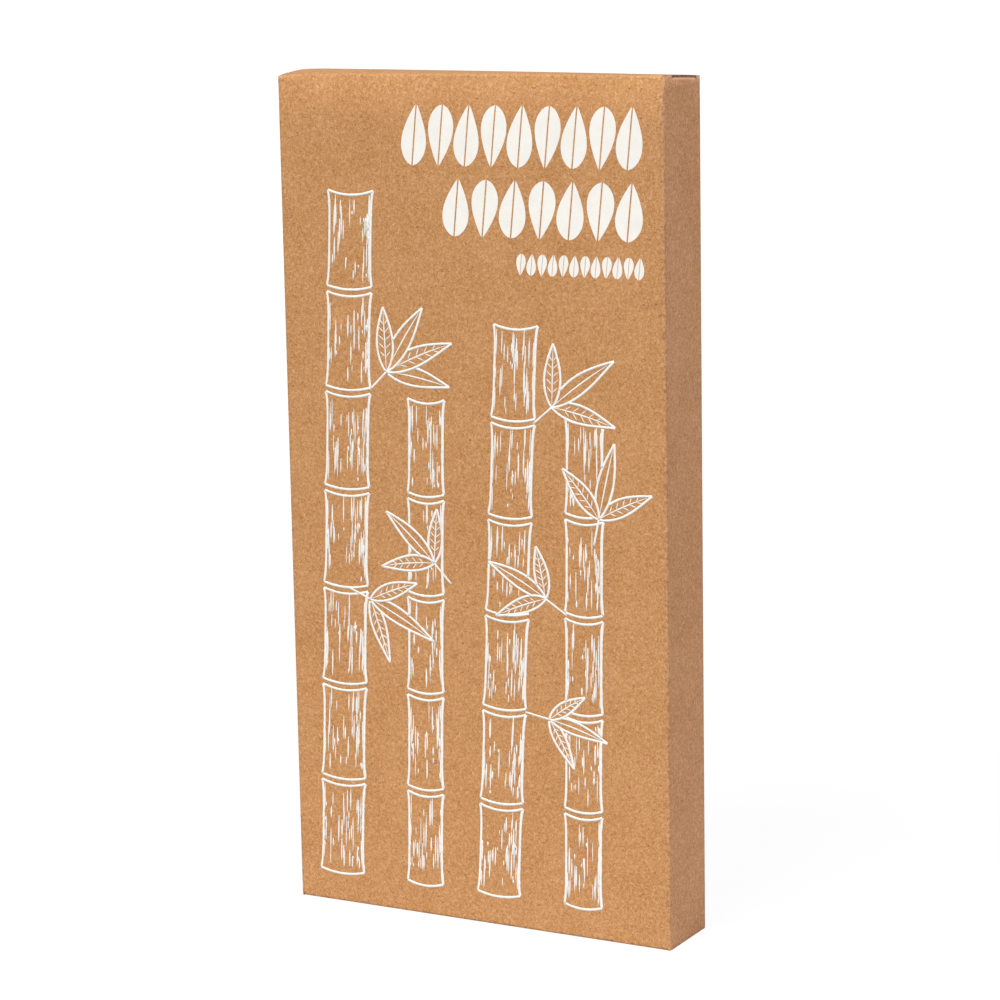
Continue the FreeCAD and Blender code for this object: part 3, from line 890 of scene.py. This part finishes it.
# Sprigs: root, aim in degrees, leaves and their length. Stems: foot, top, lean in degrees, width and
# how many lengths they have. Places are in millimetres from the panel's left and top edges
sprigs = (((29, 92), 46, 4, 27), ((20, 152), 112, 3, 23), ((83, 99), 50, 3, 26), ((55, 148), -44, 3, 23),
          ((93, 154), -58, 3, 22), ((102, 133), 12, 3, 25), ((79, 184), 100, 3, 19))
stems = (((15, 241), 33, 2.5, 15, 7), ((44, 241), 93, 1.5, 12, 5), ((69, 241), 70, 3.0, 14, 6),
         ((97, 241), 96, 1.0, 12, 5))


def on_panel(right, down):
    """A place on the front panel, in millimetres from its left and top edges."""
    return Vector((right * MM - side_x, front_y + ink_sunk, top_z - down * MM))


def leaf_shape():
    """A flat solid leaf of height 1 in X and Z, its two halves apart by a midrib."""
    work = bmesh.new()
    for side in (-1, 1):
        outline = []
        for share in spread(31, 0.0, 1.0):
            swell = math.sin(math.pi * share ** 0.7) ** 0.9
            outline.append((side * (leaf_slit + leaf_bulge * swell), share - 0.5))
        outline.append((side * leaf_slit, 0.5 - leaf_notch))
        add_plate(work, outline, ink_thickness)
    bmesh.ops.remove_doubles(work, verts=work.verts, dist=1e-7)
    return worked_object("leaf_stamp", work)


def follow_panel(piece):
    """Cuts a printed piece where the front panel bends and lays it onto the bend."""
    work = bmesh.new()
    work.from_mesh(piece.data)
    for level in curl_levels:
        everything = work.verts[:] + work.edges[:] + work.faces[:]
        bmesh.ops.bisect_plane(work, geom=everything, plane_co=(0, 0, level), plane_no=(0, 0, 1), dist=1e-8)
    for vertex in work.verts:
        vertex.co.y += curl(vertex.co.x, vertex.co.z)
    work.to_mesh(piece.data)
    work.free()


def print_leaf_rows():
    """Three right-aligned rows of leaves that point up and down in turn."""
    points, turns, sizes, widths = [], [], [], []
    for count, pitch, middle, height, width in leaf_rows:
        for step in range(count):
            points.append(on_panel(leaf_rows_right - pitch / 2 - pitch * step, middle))
            turns.append(math.radians(leaf_turn + 180 * (step % 2)))
            sizes.append(height * MM)
            widths.append(width)
    return stamp("print_leaf_rows", leaf_shape(), ink, points, turns, sizes, widths)


class Drawing:
    """Strokes of white line collected in millimetres on the front panel."""

    def __init__(self, seed):
        self.chance = random.Random(seed)
        self.points = []
        self.edges = []
        self.widths = []
        self.lifts = []
        self.count = 0
        self.covers = []

    def covered(self, right, down):
        """Whether a leaf that is already drawn covers this place."""
        for outline in self.covers:
            inside = False
            for (x0, y0), (x1, y1) in zip(outline, outline[1:] + outline[:1]):
                if (y0 > down) != (y1 > down) and right < x0 + (x1 - x0) * (down - y0) / (y1 - y0):
                    inside = not inside
            if inside:
                return True
        return False

    def behind(self, places, width, taper=False):
        """A stroke that breaks off where it passes behind a leaf."""
        run = []
        for spot in places + [None]:
            if spot is None or self.covered(*spot):
                if len(run) > 2:
                    self.stroke(run, width, taper)
                run = []
            else:
                run.append(spot)

    def stroke(self, places, width, taper=False):
        """A line of ink, each on a layer of its own so that crossings don't flicker."""
        first = len(self.points)
        last = len(places) - 1
        lift = ink_thickness + ink_layer * (ink_layer_step * self.count % ink_layers)
        self.count += 1
        for index, (right, down) in enumerate(places):
            thin = 0.25 + 0.75 * math.sin(math.pi * index / last) if taper else 1.0
            self.points.append(on_panel(right, down))
            self.widths.append(width * thin * MM)
            self.lifts.append(lift)
            if index:
                self.edges.append((first + index - 1, first + index))

    def stem(self, foot, top, lean, width, lengths):
        """A bamboo stem: two sides in lengths, double rings at its joints and broken grain lines."""
        step = (foot[1] - top) / lengths
        slope = math.tan(math.radians(lean))

        def at(across, along):
            return foot[0] + across + slope * along, foot[1] - along

        def half(share):
            return width / 2 * (waist + flare * abs(2 * share - 1) ** 5)

        for length in range(lengths):
            low, high = length * step + joint_gap, (length + 1) * step - joint_gap
            for side in (-1, 1):
                line = [at(side * half(share), mix(low, high, share)) for share in spread(50, 0, 1)]
                self.behind(line, stem_line[side])
            for edge, bow in ((low, ring_bow_low), (high, ring_bow_high)):
                ring = [at(share * width * ring_half, edge - bow * (1 - share ** 2))
                        for share in spread(28, -1, 1)]
                self.behind(ring, ring_line)
            for _ in range(int(width * grain_lines_per_width)):
                side = self.chance.choice((-1, 1, 1))
                across = side * (1 - self.chance.random() ** grain_edge_bias) * grain_reach * width
                start = low + self.chance.uniform(0.02, 0.75) * (high - low)
                end = min(start + self.chance.uniform(grain_shortest, grain_longest), high - grain_joint_gap)
                if end > start + grain_least:
                    count = max(4, int((end - start) / 0.7))
                    self.behind([at(across, along) for along in spread(count, start, end)],
                                self.chance.uniform(grain_line_low, grain_line_high), taper=True)

    def leaf(self, root, aim, length, width, veins):
        """A long leaf in outline, with its midrib and maybe a few short veins."""
        angle = math.radians(aim)
        ahead = (math.sin(angle), -math.cos(angle))
        sideways = (math.cos(angle), math.sin(angle))

        def at(along, across):
            right = root[0] + ahead[0] * along * length + sideways[0] * across
            down = root[1] + ahead[1] * along * length + sideways[1] * across
            return right, down + length * leaf_droop * along ** 2

        def half(share):
            return width / 2 * math.sin(math.pi * share ** 0.75)

        sides = []
        for side in (-1, 1):
            sides.append([at(share, side * half(share)) for share in spread(40, 0, 1)])
            self.behind(sides[-1], leaf_line)
        self.behind([at(share, 0) for share in spread(24, 0.02, 0.9)], midrib_line, taper=True)
        for side in (-1, 1) if veins else ():
            for share in spread(5, 0.2, 0.7):
                reach = side * half(share) * 0.75
                vein = [at(share + 0.09 * part, reach * part) for part in spread(6, 0.1, 1)]
                self.behind(vein, vein_line, taper=True)
        self.covers.append(sides[0] + sides[1][::-1])

    def sprig(self, root, aim, leaves, length):
        """A twig with leaves that fan out from its end."""
        angle = math.radians(aim)
        tip = (root[0] + twig_length * math.sin(angle), root[1] - twig_length * math.cos(angle))
        twig = [(mix(root[0], tip[0], share), mix(root[1], tip[1], share)) for share in spread(8, 0, 1)]
        self.stroke(twig, twig_line)
        for step, share in enumerate(spread(leaves, -1, 1)):
            self.leaf(tip, aim + share * leaf_fan, length * (1 - leaf_shrink * abs(share)),
                      length * leaf_slim, veins=step % 2 == 0)


def print_bamboo_lines():
    """A stand of four stems that lean gently to the right, with sprigs of leaves."""
    drawing = Drawing(drawing_seed)
    for sprig in sprigs:
        drawing.sprig(*sprig)
    for stem in stems:
        drawing.stem(*stem)
    lines = marks("print_bamboo_lines", drawing.points, drawing.edges, width=drawing.widths,
                  lift=drawing.lifts)
    return grow(lines, strokes, {"Unsteady": unsteady, "Finish": ink})


def dress_node(name, finish):
    """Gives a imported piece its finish."""
    slots = nodes[name].data.materials
    slots.clear()
    slots.append(finish)


def dress_carton():
    for name in ("glue_flap", "bottom_outer_flap", "bottom_inner_flap",
                 "bottom_dust_flap_right", "bottom_dust_flap_left"):
        dress_node(name, kraft)
    made = []
    for wall, node in ((front_card(), "front_panel"), (back_card(), "back_panel"),
                       (side_card("side_card_right", 1, right_high.y), "right_panel"),
                       (side_card("side_card_left", -1, left_high.y), "left_panel")):
        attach(wall, "carton")
        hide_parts(node)
        made.append(wall)
    lid = lid_card()
    fold_point(0, 0)
    fold_point(0, 1)
    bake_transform(lid)
    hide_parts("top_lid")
    tuck = tuck_card()
    lid_point(0, 1)
    lid_point(0, 1) + tuck_fold_step
    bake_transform(tuck)
    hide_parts("top_tuck")
    made += [lid, tuck]
    for name, side, body in (("dust_flap_card_right", 1, "dust_flap_right"),
                             ("dust_flap_card_left", -1, "dust_flap_left")):
        flap = dust_flap_card(name, side)
        fold = flap_fold_z(side * lid_high.x, 0)
        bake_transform(flap)
        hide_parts("top_" + body)
        made.append(flap)
    for piece in (print_leaf_rows(), print_bamboo_lines()):
        follow_panel(piece)
        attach(piece, "carton")


# Organizer

# Screws: shank, thread pitch, way that the head looks on Y, whether it is flat, and each one's turn
screws = {"cover_screws": (2.2 * MM, 0.7 * MM, 1, True, [0.3, 1.1, 0.7, 0.1]),
          "board_screws": (1.9 * MM, 0.6 * MM, -1, False, [0.2, 0.9, 1.3, 0.5])}
screw_head_height, thread_depth = 1.0 * MM, 0.14

# Capacitors, chips and their legs, inductor, solder and coil
can_lip = 0.15 * MM
can_mark_share, can_mark_thick, can_dish = 0.72, 0.04 * MM, 0.09 * MM
leg_reach, leg_width, leg_thick = 0.7 * MM, 0.28 * MM, 0.12 * MM
wide_chip_legs, wide_chip_pitch = 8, 0.65 * MM
small_chip_legs, small_chip_pitch = 4, 0.9 * MM
chip_bevel, chip_taper, chip_lift = 0.1 * MM, 0.97, 0.1 * MM
inductor_bevel, inductor_taper = 0.6 * MM, 0.96
solder_height, solder_radius = 0.55 * MM, 0.95 * MM
coil_turns = 10
coil_inner_radius = 9.5 * MM
coil_pitch = 1.45 * MM
coil_wire = 0.95 * MM
coil_twists = 150
coil_end_angle = math.radians(25)


def solids(name):
    """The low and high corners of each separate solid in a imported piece, from left to right."""
    work = bmesh.new()
    work.from_mesh(nodes[name].data)
    bmesh.ops.remove_doubles(work, verts=work.verts, dist=0.002 * MM)
    boxes, seen = [], set()
    for first in work.verts:
        if first in seen:
            continue
        island, waiting = {first}, [first]
        while waiting:
            for edge in waiting.pop().link_edges:
                for vertex in edge.verts:
                    if vertex not in island:
                        island.add(vertex)
                        waiting.append(vertex)
        seen |= island
        corners = [vertex.co for vertex in island]
        boxes.append((Vector(map(min, zip(*corners))), Vector(map(max, zip(*corners)))))
    work.free()
    return sorted(boxes, key=lambda box: (round(box[0].x, 5), round(box[0].z, 5)))


def end_middles(boxes, way):
    """The middle of each box's end that looks along way, +1 or -1 on Y."""
    return [((low.x + high.x) / 2, (high if way > 0 else low).y, (low.z + high.z) / 2)
            for low, high in boxes]


def loft(work, rings):
    """Joins rings of points with faces. A ring of one point is a pole."""
    segments = max(len(ring) for ring in rings)
    for lower, upper in zip(rings, rings[1:]):
        for step in range(segments):
            after = (step + 1) % segments
            corners = [lower[step % len(lower)], lower[after % len(lower)],
                       upper[after % len(upper)], upper[step % len(upper)]]
            work.faces.new(list(dict.fromkeys(corners)))


def turned(name, profile, segments, outward, reshape=None):
    """A solid turned about Y from (radius, height) pairs that start and end on the axis.
    Height runs along outward, +1 or -1 on Y. reshape(angle, radius, height) may move a point."""
    work = bmesh.new()
    rings = []
    for radius, height in profile:
        ring = []
        for step in range(segments if radius else 1):
            angle = 2 * math.pi * step / segments
            r, h = reshape(angle, radius, height) if reshape else (radius, height)
            ring.append(work.verts.new((r * math.cos(angle), outward * h, r * math.sin(angle))))
        rings.append(ring)
    loft(work, rings)
    return worked_object(name, work, part_crease)


def screw_shape(head, shank, length, thread_pitch, outward, flat_head):
    """A cross-recessed screw whose head's top is at height 0, with a threaded shank."""
    recess_reach, recess_half, recess_depth = 0.36 * head, 0.075 * head, 0.3 * screw_head_height
    rim = 0.06 * head

    def reshape(angle, radius, height):
        if height >= -rim and radius < head / 2:
            u, v = abs(radius * math.cos(angle)), abs(radius * math.sin(angle))
            if min(u, v) < recess_half and max(u, v) < recess_reach:
                return radius, height - recess_depth
        if height < -screw_head_height:
            turn = (height / thread_pitch + angle / (2 * math.pi)) % 1.0
            return radius * (1 - thread_depth * abs(2 * turn - 1)), height
        return radius, height

    profile = [(0.0, 0.0)] + [(share * (head / 2 - rim), 0.0) for share in spread(12, 0.08, 1)]
    if flat_head:
        profile += [(head / 2, -0.3 * rim)]
    else:
        profile += [(head / 2, -rim), (head / 2, -screw_head_height)]
    profile.append((shank / 2, -screw_head_height))
    count = max(8, int((length - screw_head_height) / thread_pitch * 5))
    under_head = -screw_head_height - 0.02 * MM
    profile += [(shank / 2, z) for z in spread(count, under_head, -length + shank / 2)]
    profile.append((0.0, -length))
    return turned("screw", profile, 40, outward, reshape)


def screw_set(node):
    """A screw in place of each of a node's solids."""
    shank, thread_pitch, outward, flat_head, turns = screws[node]
    boxes = solids(node)
    size = boxes[0][1] - boxes[0][0]
    shape = screw_shape(size.x, shank, size.y, thread_pitch, outward, flat_head)
    name = node.replace("screws", "screw_set")
    return stamp(name, shape, finishes["screw_steel"], end_middles(boxes, outward), turns)


def capacitor_cans():
    """Round cans with a crimped neck and a dished top."""
    boxes = solids("filter_capacitors")
    low, high = boxes[0]
    radius, tall, lip = (high.x - low.x) / 2, high.y - low.y, can_lip
    profile = [(0, 0), (radius - lip, 0), (radius, lip), (radius, 0.9 * MM), (radius - lip, 1.05 * MM),
               (radius - lip, 1.25 * MM), (radius, 1.4 * MM), (radius, tall - 2 * lip),
               (radius - lip, tall - 0.4 * lip), (radius - 2.2 * lip, tall),
               (radius - 3.2 * lip, tall - 0.6 * lip), (0, tall - 0.6 * lip)]
    shape = turned("capacitor_can", profile, 36, -1)
    return stamp("capacitor_cans", shape, finishes["can_aluminium"], end_middles(boxes, 1))


def capacitor_marks():
    """The dark half-moon on each can's top that shows its negative side."""
    boxes = solids("filter_capacitors")
    radius = can_mark_share * (boxes[0][1].x - boxes[0][0].x) / 2
    work = bmesh.new()
    outline = [(radius * math.cos(a), radius * math.sin(a)) for a in spread(17, -1.0, 1.0)]
    add_plate(work, outline, can_mark_thick)
    shape = worked_object("capacitor_mark", work)
    places = [(x, y + can_dish, z) for x, y, z in end_middles(boxes, -1)]
    return stamp("capacitor_marks", shape, finishes["chip_plastic"], places)


def rounded_blocks(name, blocks, bevel, taper, finish):
    """Blocks with bevelled edges, given by their middles and sizes, their -Y faces drawn in by taper."""
    work = bmesh.new()
    for middle, size in blocks:
        corners = bmesh.ops.create_cube(work, size=1.0)["verts"]
        edges = list(dict.fromkeys(edge for vertex in corners for edge in vertex.link_edges))
        for vertex in corners:
            draw_in = taper if vertex.co.y < 0 else 1.0
            vertex.co = middle + vertex.co * size * Vector((draw_in, 1.0, draw_in))
        bmesh.ops.bevel(work, geom=edges, offset=bevel, segments=3, profile=0.5, affect="EDGES")
    return worked_object(name, work, part_crease, finish)


def chip_packages():
    """Moulded chip bodies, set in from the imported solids' sides by the reach of their legs."""
    set_in = Vector((2 * leg_reach, chip_lift, 2 * leg_reach))
    blocks = []
    for low, high in solids("control_chips"):
        blocks.append(((low + high) / 2 - Vector((0, chip_lift / 2, 0)), high - low - set_in))
    return rounded_blocks("chip_packages", blocks, chip_bevel, chip_taper, finishes["chip_plastic"])


def leg_shape(drop):
    """A gull-wing leg that leaves the body along +X and steps down to the board along +Y."""
    work = bmesh.new()
    rings = []
    for x, y in ((-0.1 * MM, 0), (0.3 * leg_reach, 0), (0.5 * leg_reach, drop), (leg_reach, drop)):
        rings.append([work.verts.new((x, y + dy * leg_thick / 2, dz * leg_width / 2))
                      for dy, dz in ((-1, -1), (1, -1), (1, 1), (-1, 1))])
    loft(work, rings)
    work.faces.new(rings[0])
    work.faces.new(rings[-1])
    return worked_object("chip_leg", work)


def chip_legs():
    """Rows of legs: on four sides of the largest chip and on two sides of the others."""
    boxes = solids("control_chips")
    widest = max(high.x - low.x for low, high in boxes)
    places, turns = [], []
    for low, high in boxes:
        middle = (low + high) / 2
        four = high.x - low.x > 0.9 * widest
        half = (high.x - low.x) / 2 - leg_reach
        count = wide_chip_legs if four else small_chip_legs
        pitch = wide_chip_pitch if four else small_chip_pitch
        for quarter in (0, 1, 2, 3) if four else (1, 3):
            turn = quarter * math.pi / 2
            for step in range(count):
                across = (step - (count - 1) / 2) * pitch
                x = math.cos(turn) * half + math.sin(turn) * across
                z = -math.sin(turn) * half + math.cos(turn) * across
                places.append((middle.x + x, middle.y, middle.z + z))
                turns.append(turn)
    low, high = boxes[0]
    drop = (high.y - low.y) / 2 - leg_thick / 2
    return stamp("chip_legs", leg_shape(drop), finishes["solder_tin"], places, turns)


def inductor_block():
    low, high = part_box("power_inductor")
    block = ((low + high) / 2, high - low)
    return rounded_blocks("inductor_block", [block], inductor_bevel, inductor_taper, finishes["ferrite"])


def solder_joints():
    """The domes where the coil's leads meet the board."""
    profile = [(0, 0), (solder_radius, 0)]
    for angle in spread(8, 0.15, 1.45):
        profile.append((solder_radius * math.cos(angle) ** 1.5, solder_height * math.sin(angle)))
    profile.append((0, solder_height))
    shape = turned("solder_dome", profile, 24, -1)
    return stamp("solder_joints", shape, finishes["solder_tin"], end_middles(solids("coil_leads"), 1))


def coil_winding():
    """The charging coil's spiral, about the middle of its ferrite sheet."""
    low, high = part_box("charging_coil")
    sheet_low, sheet_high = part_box("ferrite_sheet")
    middle = (sheet_low + sheet_high) / 2
    piece = grow(marks("coil_winding", []), make_winding(),
                 {"Turns": float(coil_turns), "Inner": coil_inner_radius,
                  "Outer": coil_inner_radius + coil_turns * coil_pitch, "Wire": coil_wire / 2,
                  "Twist": 2 * math.pi * coil_twists, "Finish": finishes["copper_wire"]})
    spot = Matrix.Translation((middle.x, (low.y + high.y) / 2, middle.z))
    piece.data.transform(spot @ Matrix.Rotation(-coil_end_angle, 4, "Y"))
    return piece


def dress_organizer():
    for name, finish in (("bamboo_tray", "bamboo"), ("charger_cover", "cover_plastic"),
                         ("circuit_board", "board_laminate"), ("ferrite_sheet", "ferrite"),
                         ("coil_leads", "copper_wire"), ("socket_shell", "screw_steel"),
                         ("socket_tongue", "chip_plastic"), ("rubber_feet", "foot_rubber")):
        dress_node(name, finishes[finish])
    for piece, node, slot in (
        (screw_set("cover_screws"), "cover_screws", "screw_steel"),
        (screw_set("board_screws"), "board_screws", "screw_steel"),
        (capacitor_cans(), "filter_capacitors", "can_aluminium"),
        (capacitor_marks(), None, "chip_plastic"),
        (chip_packages(), "control_chips", "chip_plastic"),
        (chip_legs(), None, "screw_steel"),
        (inductor_block(), "power_inductor", "ferrite"),
        (solder_joints(), None, "screw_steel"),
        (coil_winding(), "charging_coil", "copper_wire"),
    ):
        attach(piece, "organizer")
        if node:
            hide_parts(node)


# Stage

# The floor's half width, the greys that it shows and throws back, its glow, and the lights' strengths
floor_half = 25.0
floor_seen = (0.05, 0.05, 0.05, 1)
bounce_near, bounce_far = (0.64, 0.64, 0.64, 1), (0.45, 0.45, 0.45, 1)
bounce_start, bounce_end = 0.1, 0.3
# Near the carton the floor's glow is dimmed to paint a faint shadow; further out it rises by glow_gain
painted_shadow_glow, glow_gain = 0.955, 0.05
glow_start, glow_end = 0.3, 1.2
dome_strength = 0.35
key_strength, key_angle, key_spot = 3.9, math.radians(28), (-0.6, -2.2, 2.95)
lamp_aim = Vector((0, 0, 0.12))

# Place, size, power and colour of the softer lamps
lamps = {"fill": ((2.8, -0.4, 0.7), 1.2, 42, (0.94, 0.98, 1.45)),
         "rim": ((-0.9, 2.4, 1.6), 1.6, 14, (1, 1, 1))}

# Camera, as fitted to the photographed view
camera_swing, camera_tilt, camera_roll = math.radians(28.823), math.radians(10.355), math.radians(1.038)
camera_spot = Vector((0.43598, -0.78757, 0.28987))
lens_length, sensor_width = 112.39, 36.0


def pale_floor():
    """White to the eye, with only a trace of shadow and its glow dimmed near the carton as a painted shadow,
    and a grey to the light that it throws back, paler near the carton."""
    made = material("pale_floor", Roughness=1.0, Specular_IOR_Level=0.0, Emission_Color=(1, 1, 1, 1))
    seen = place(made.node_tree, "ShaderNodeLightPath")["Is Camera Ray"]
    spot = place(made.node_tree, "ShaderNodeTexCoord")["Object"]
    distance = place(made.node_tree, "ShaderNodeVectorMath", {0: spot}, operation="LENGTH")["Value"]
    # The glow is lower near the carton: a painted shadow
    glow = ramp(distance, glow_start, glow_end) * glow_gain + painted_shadow_glow
    bounce = tint(ramp(distance, bounce_start, bounce_end), bounce_near, bounce_far)
    return feed(made, {"Base Color": tint(seen, bounce, floor_seen), "Emission Strength": seen * glow})


def stand_lamp(lamp, spot):
    """Stands a lamp at a spot and turns it towards the carton."""
    stand = bpy.data.objects.new(lamp.name, lamp)
    stand.location = spot
    stand.rotation_euler = (lamp_aim - Vector(spot)).to_track_quat("-Z", "Y").to_euler()
    bpy.context.scene.collection.objects.link(stand)


def studio():
    """A white dome, a broad key light from high in front, a fill on the right and a rim light behind."""
    world = bpy.data.worlds.new("white_dome")
    bpy.context.scene.world = world
    world.use_nodes = True
    dome = world.node_tree.nodes["Background"].inputs
    dome["Color"].default_value = (1, 1, 1, 1)
    dome["Strength"].default_value = dome_strength
    mesh = bpy.data.meshes.new("floor")
    corners = [(x * floor_half, y * floor_half, 0) for x, y in ((-1, -1), (1, -1), (1, 1), (-1, 1))]
    mesh.from_pydata(corners, [], [(0, 1, 2, 3)])
    floor = new_object("floor", mesh, pale_floor())
    key = bpy.data.lights.new("key", "SUN")
    key.energy = key_strength
    key.angle = key_angle
    stand_lamp(key, key_spot)
    for name, (spot, size, power, color) in lamps.items():
        lamp = bpy.data.lights.new(name, "AREA")
        lamp.size = size
        lamp.energy = power
        lamp.color = color
        stand_lamp(lamp, spot)


def camera():
    """The photographed view, a long lens from the front right, a little above and slightly rolled."""
    level = Vector((-math.sin(camera_swing), math.cos(camera_swing), 0))
    forward = level * math.cos(camera_tilt) - Vector((0, 0, math.sin(camera_tilt)))
    level_right = forward.cross(Vector((0, 0, 1))).normalized()
    level_up = level_right.cross(forward)
    right = math.cos(camera_roll) * level_right - math.sin(camera_roll) * level_up
    up = math.cos(camera_roll) * level_up + math.sin(camera_roll) * level_right
    lens = bpy.data.cameras.new("camera")
    lens.lens = lens_length
    lens.sensor_width = sensor_width
    made = bpy.data.objects.new("camera", lens)
    turn = Matrix((right, up, -forward)).transposed()
    made.matrix_world = Matrix.Translation(camera_spot) @ turn.to_4x4()
    bpy.context.scene.collection.objects.link(made)
    bpy.context.scene.camera = made
    bpy.context.scene.view_settings.view_transform = "Standard"


dress_carton()
dress_organizer()
studio()
camera()
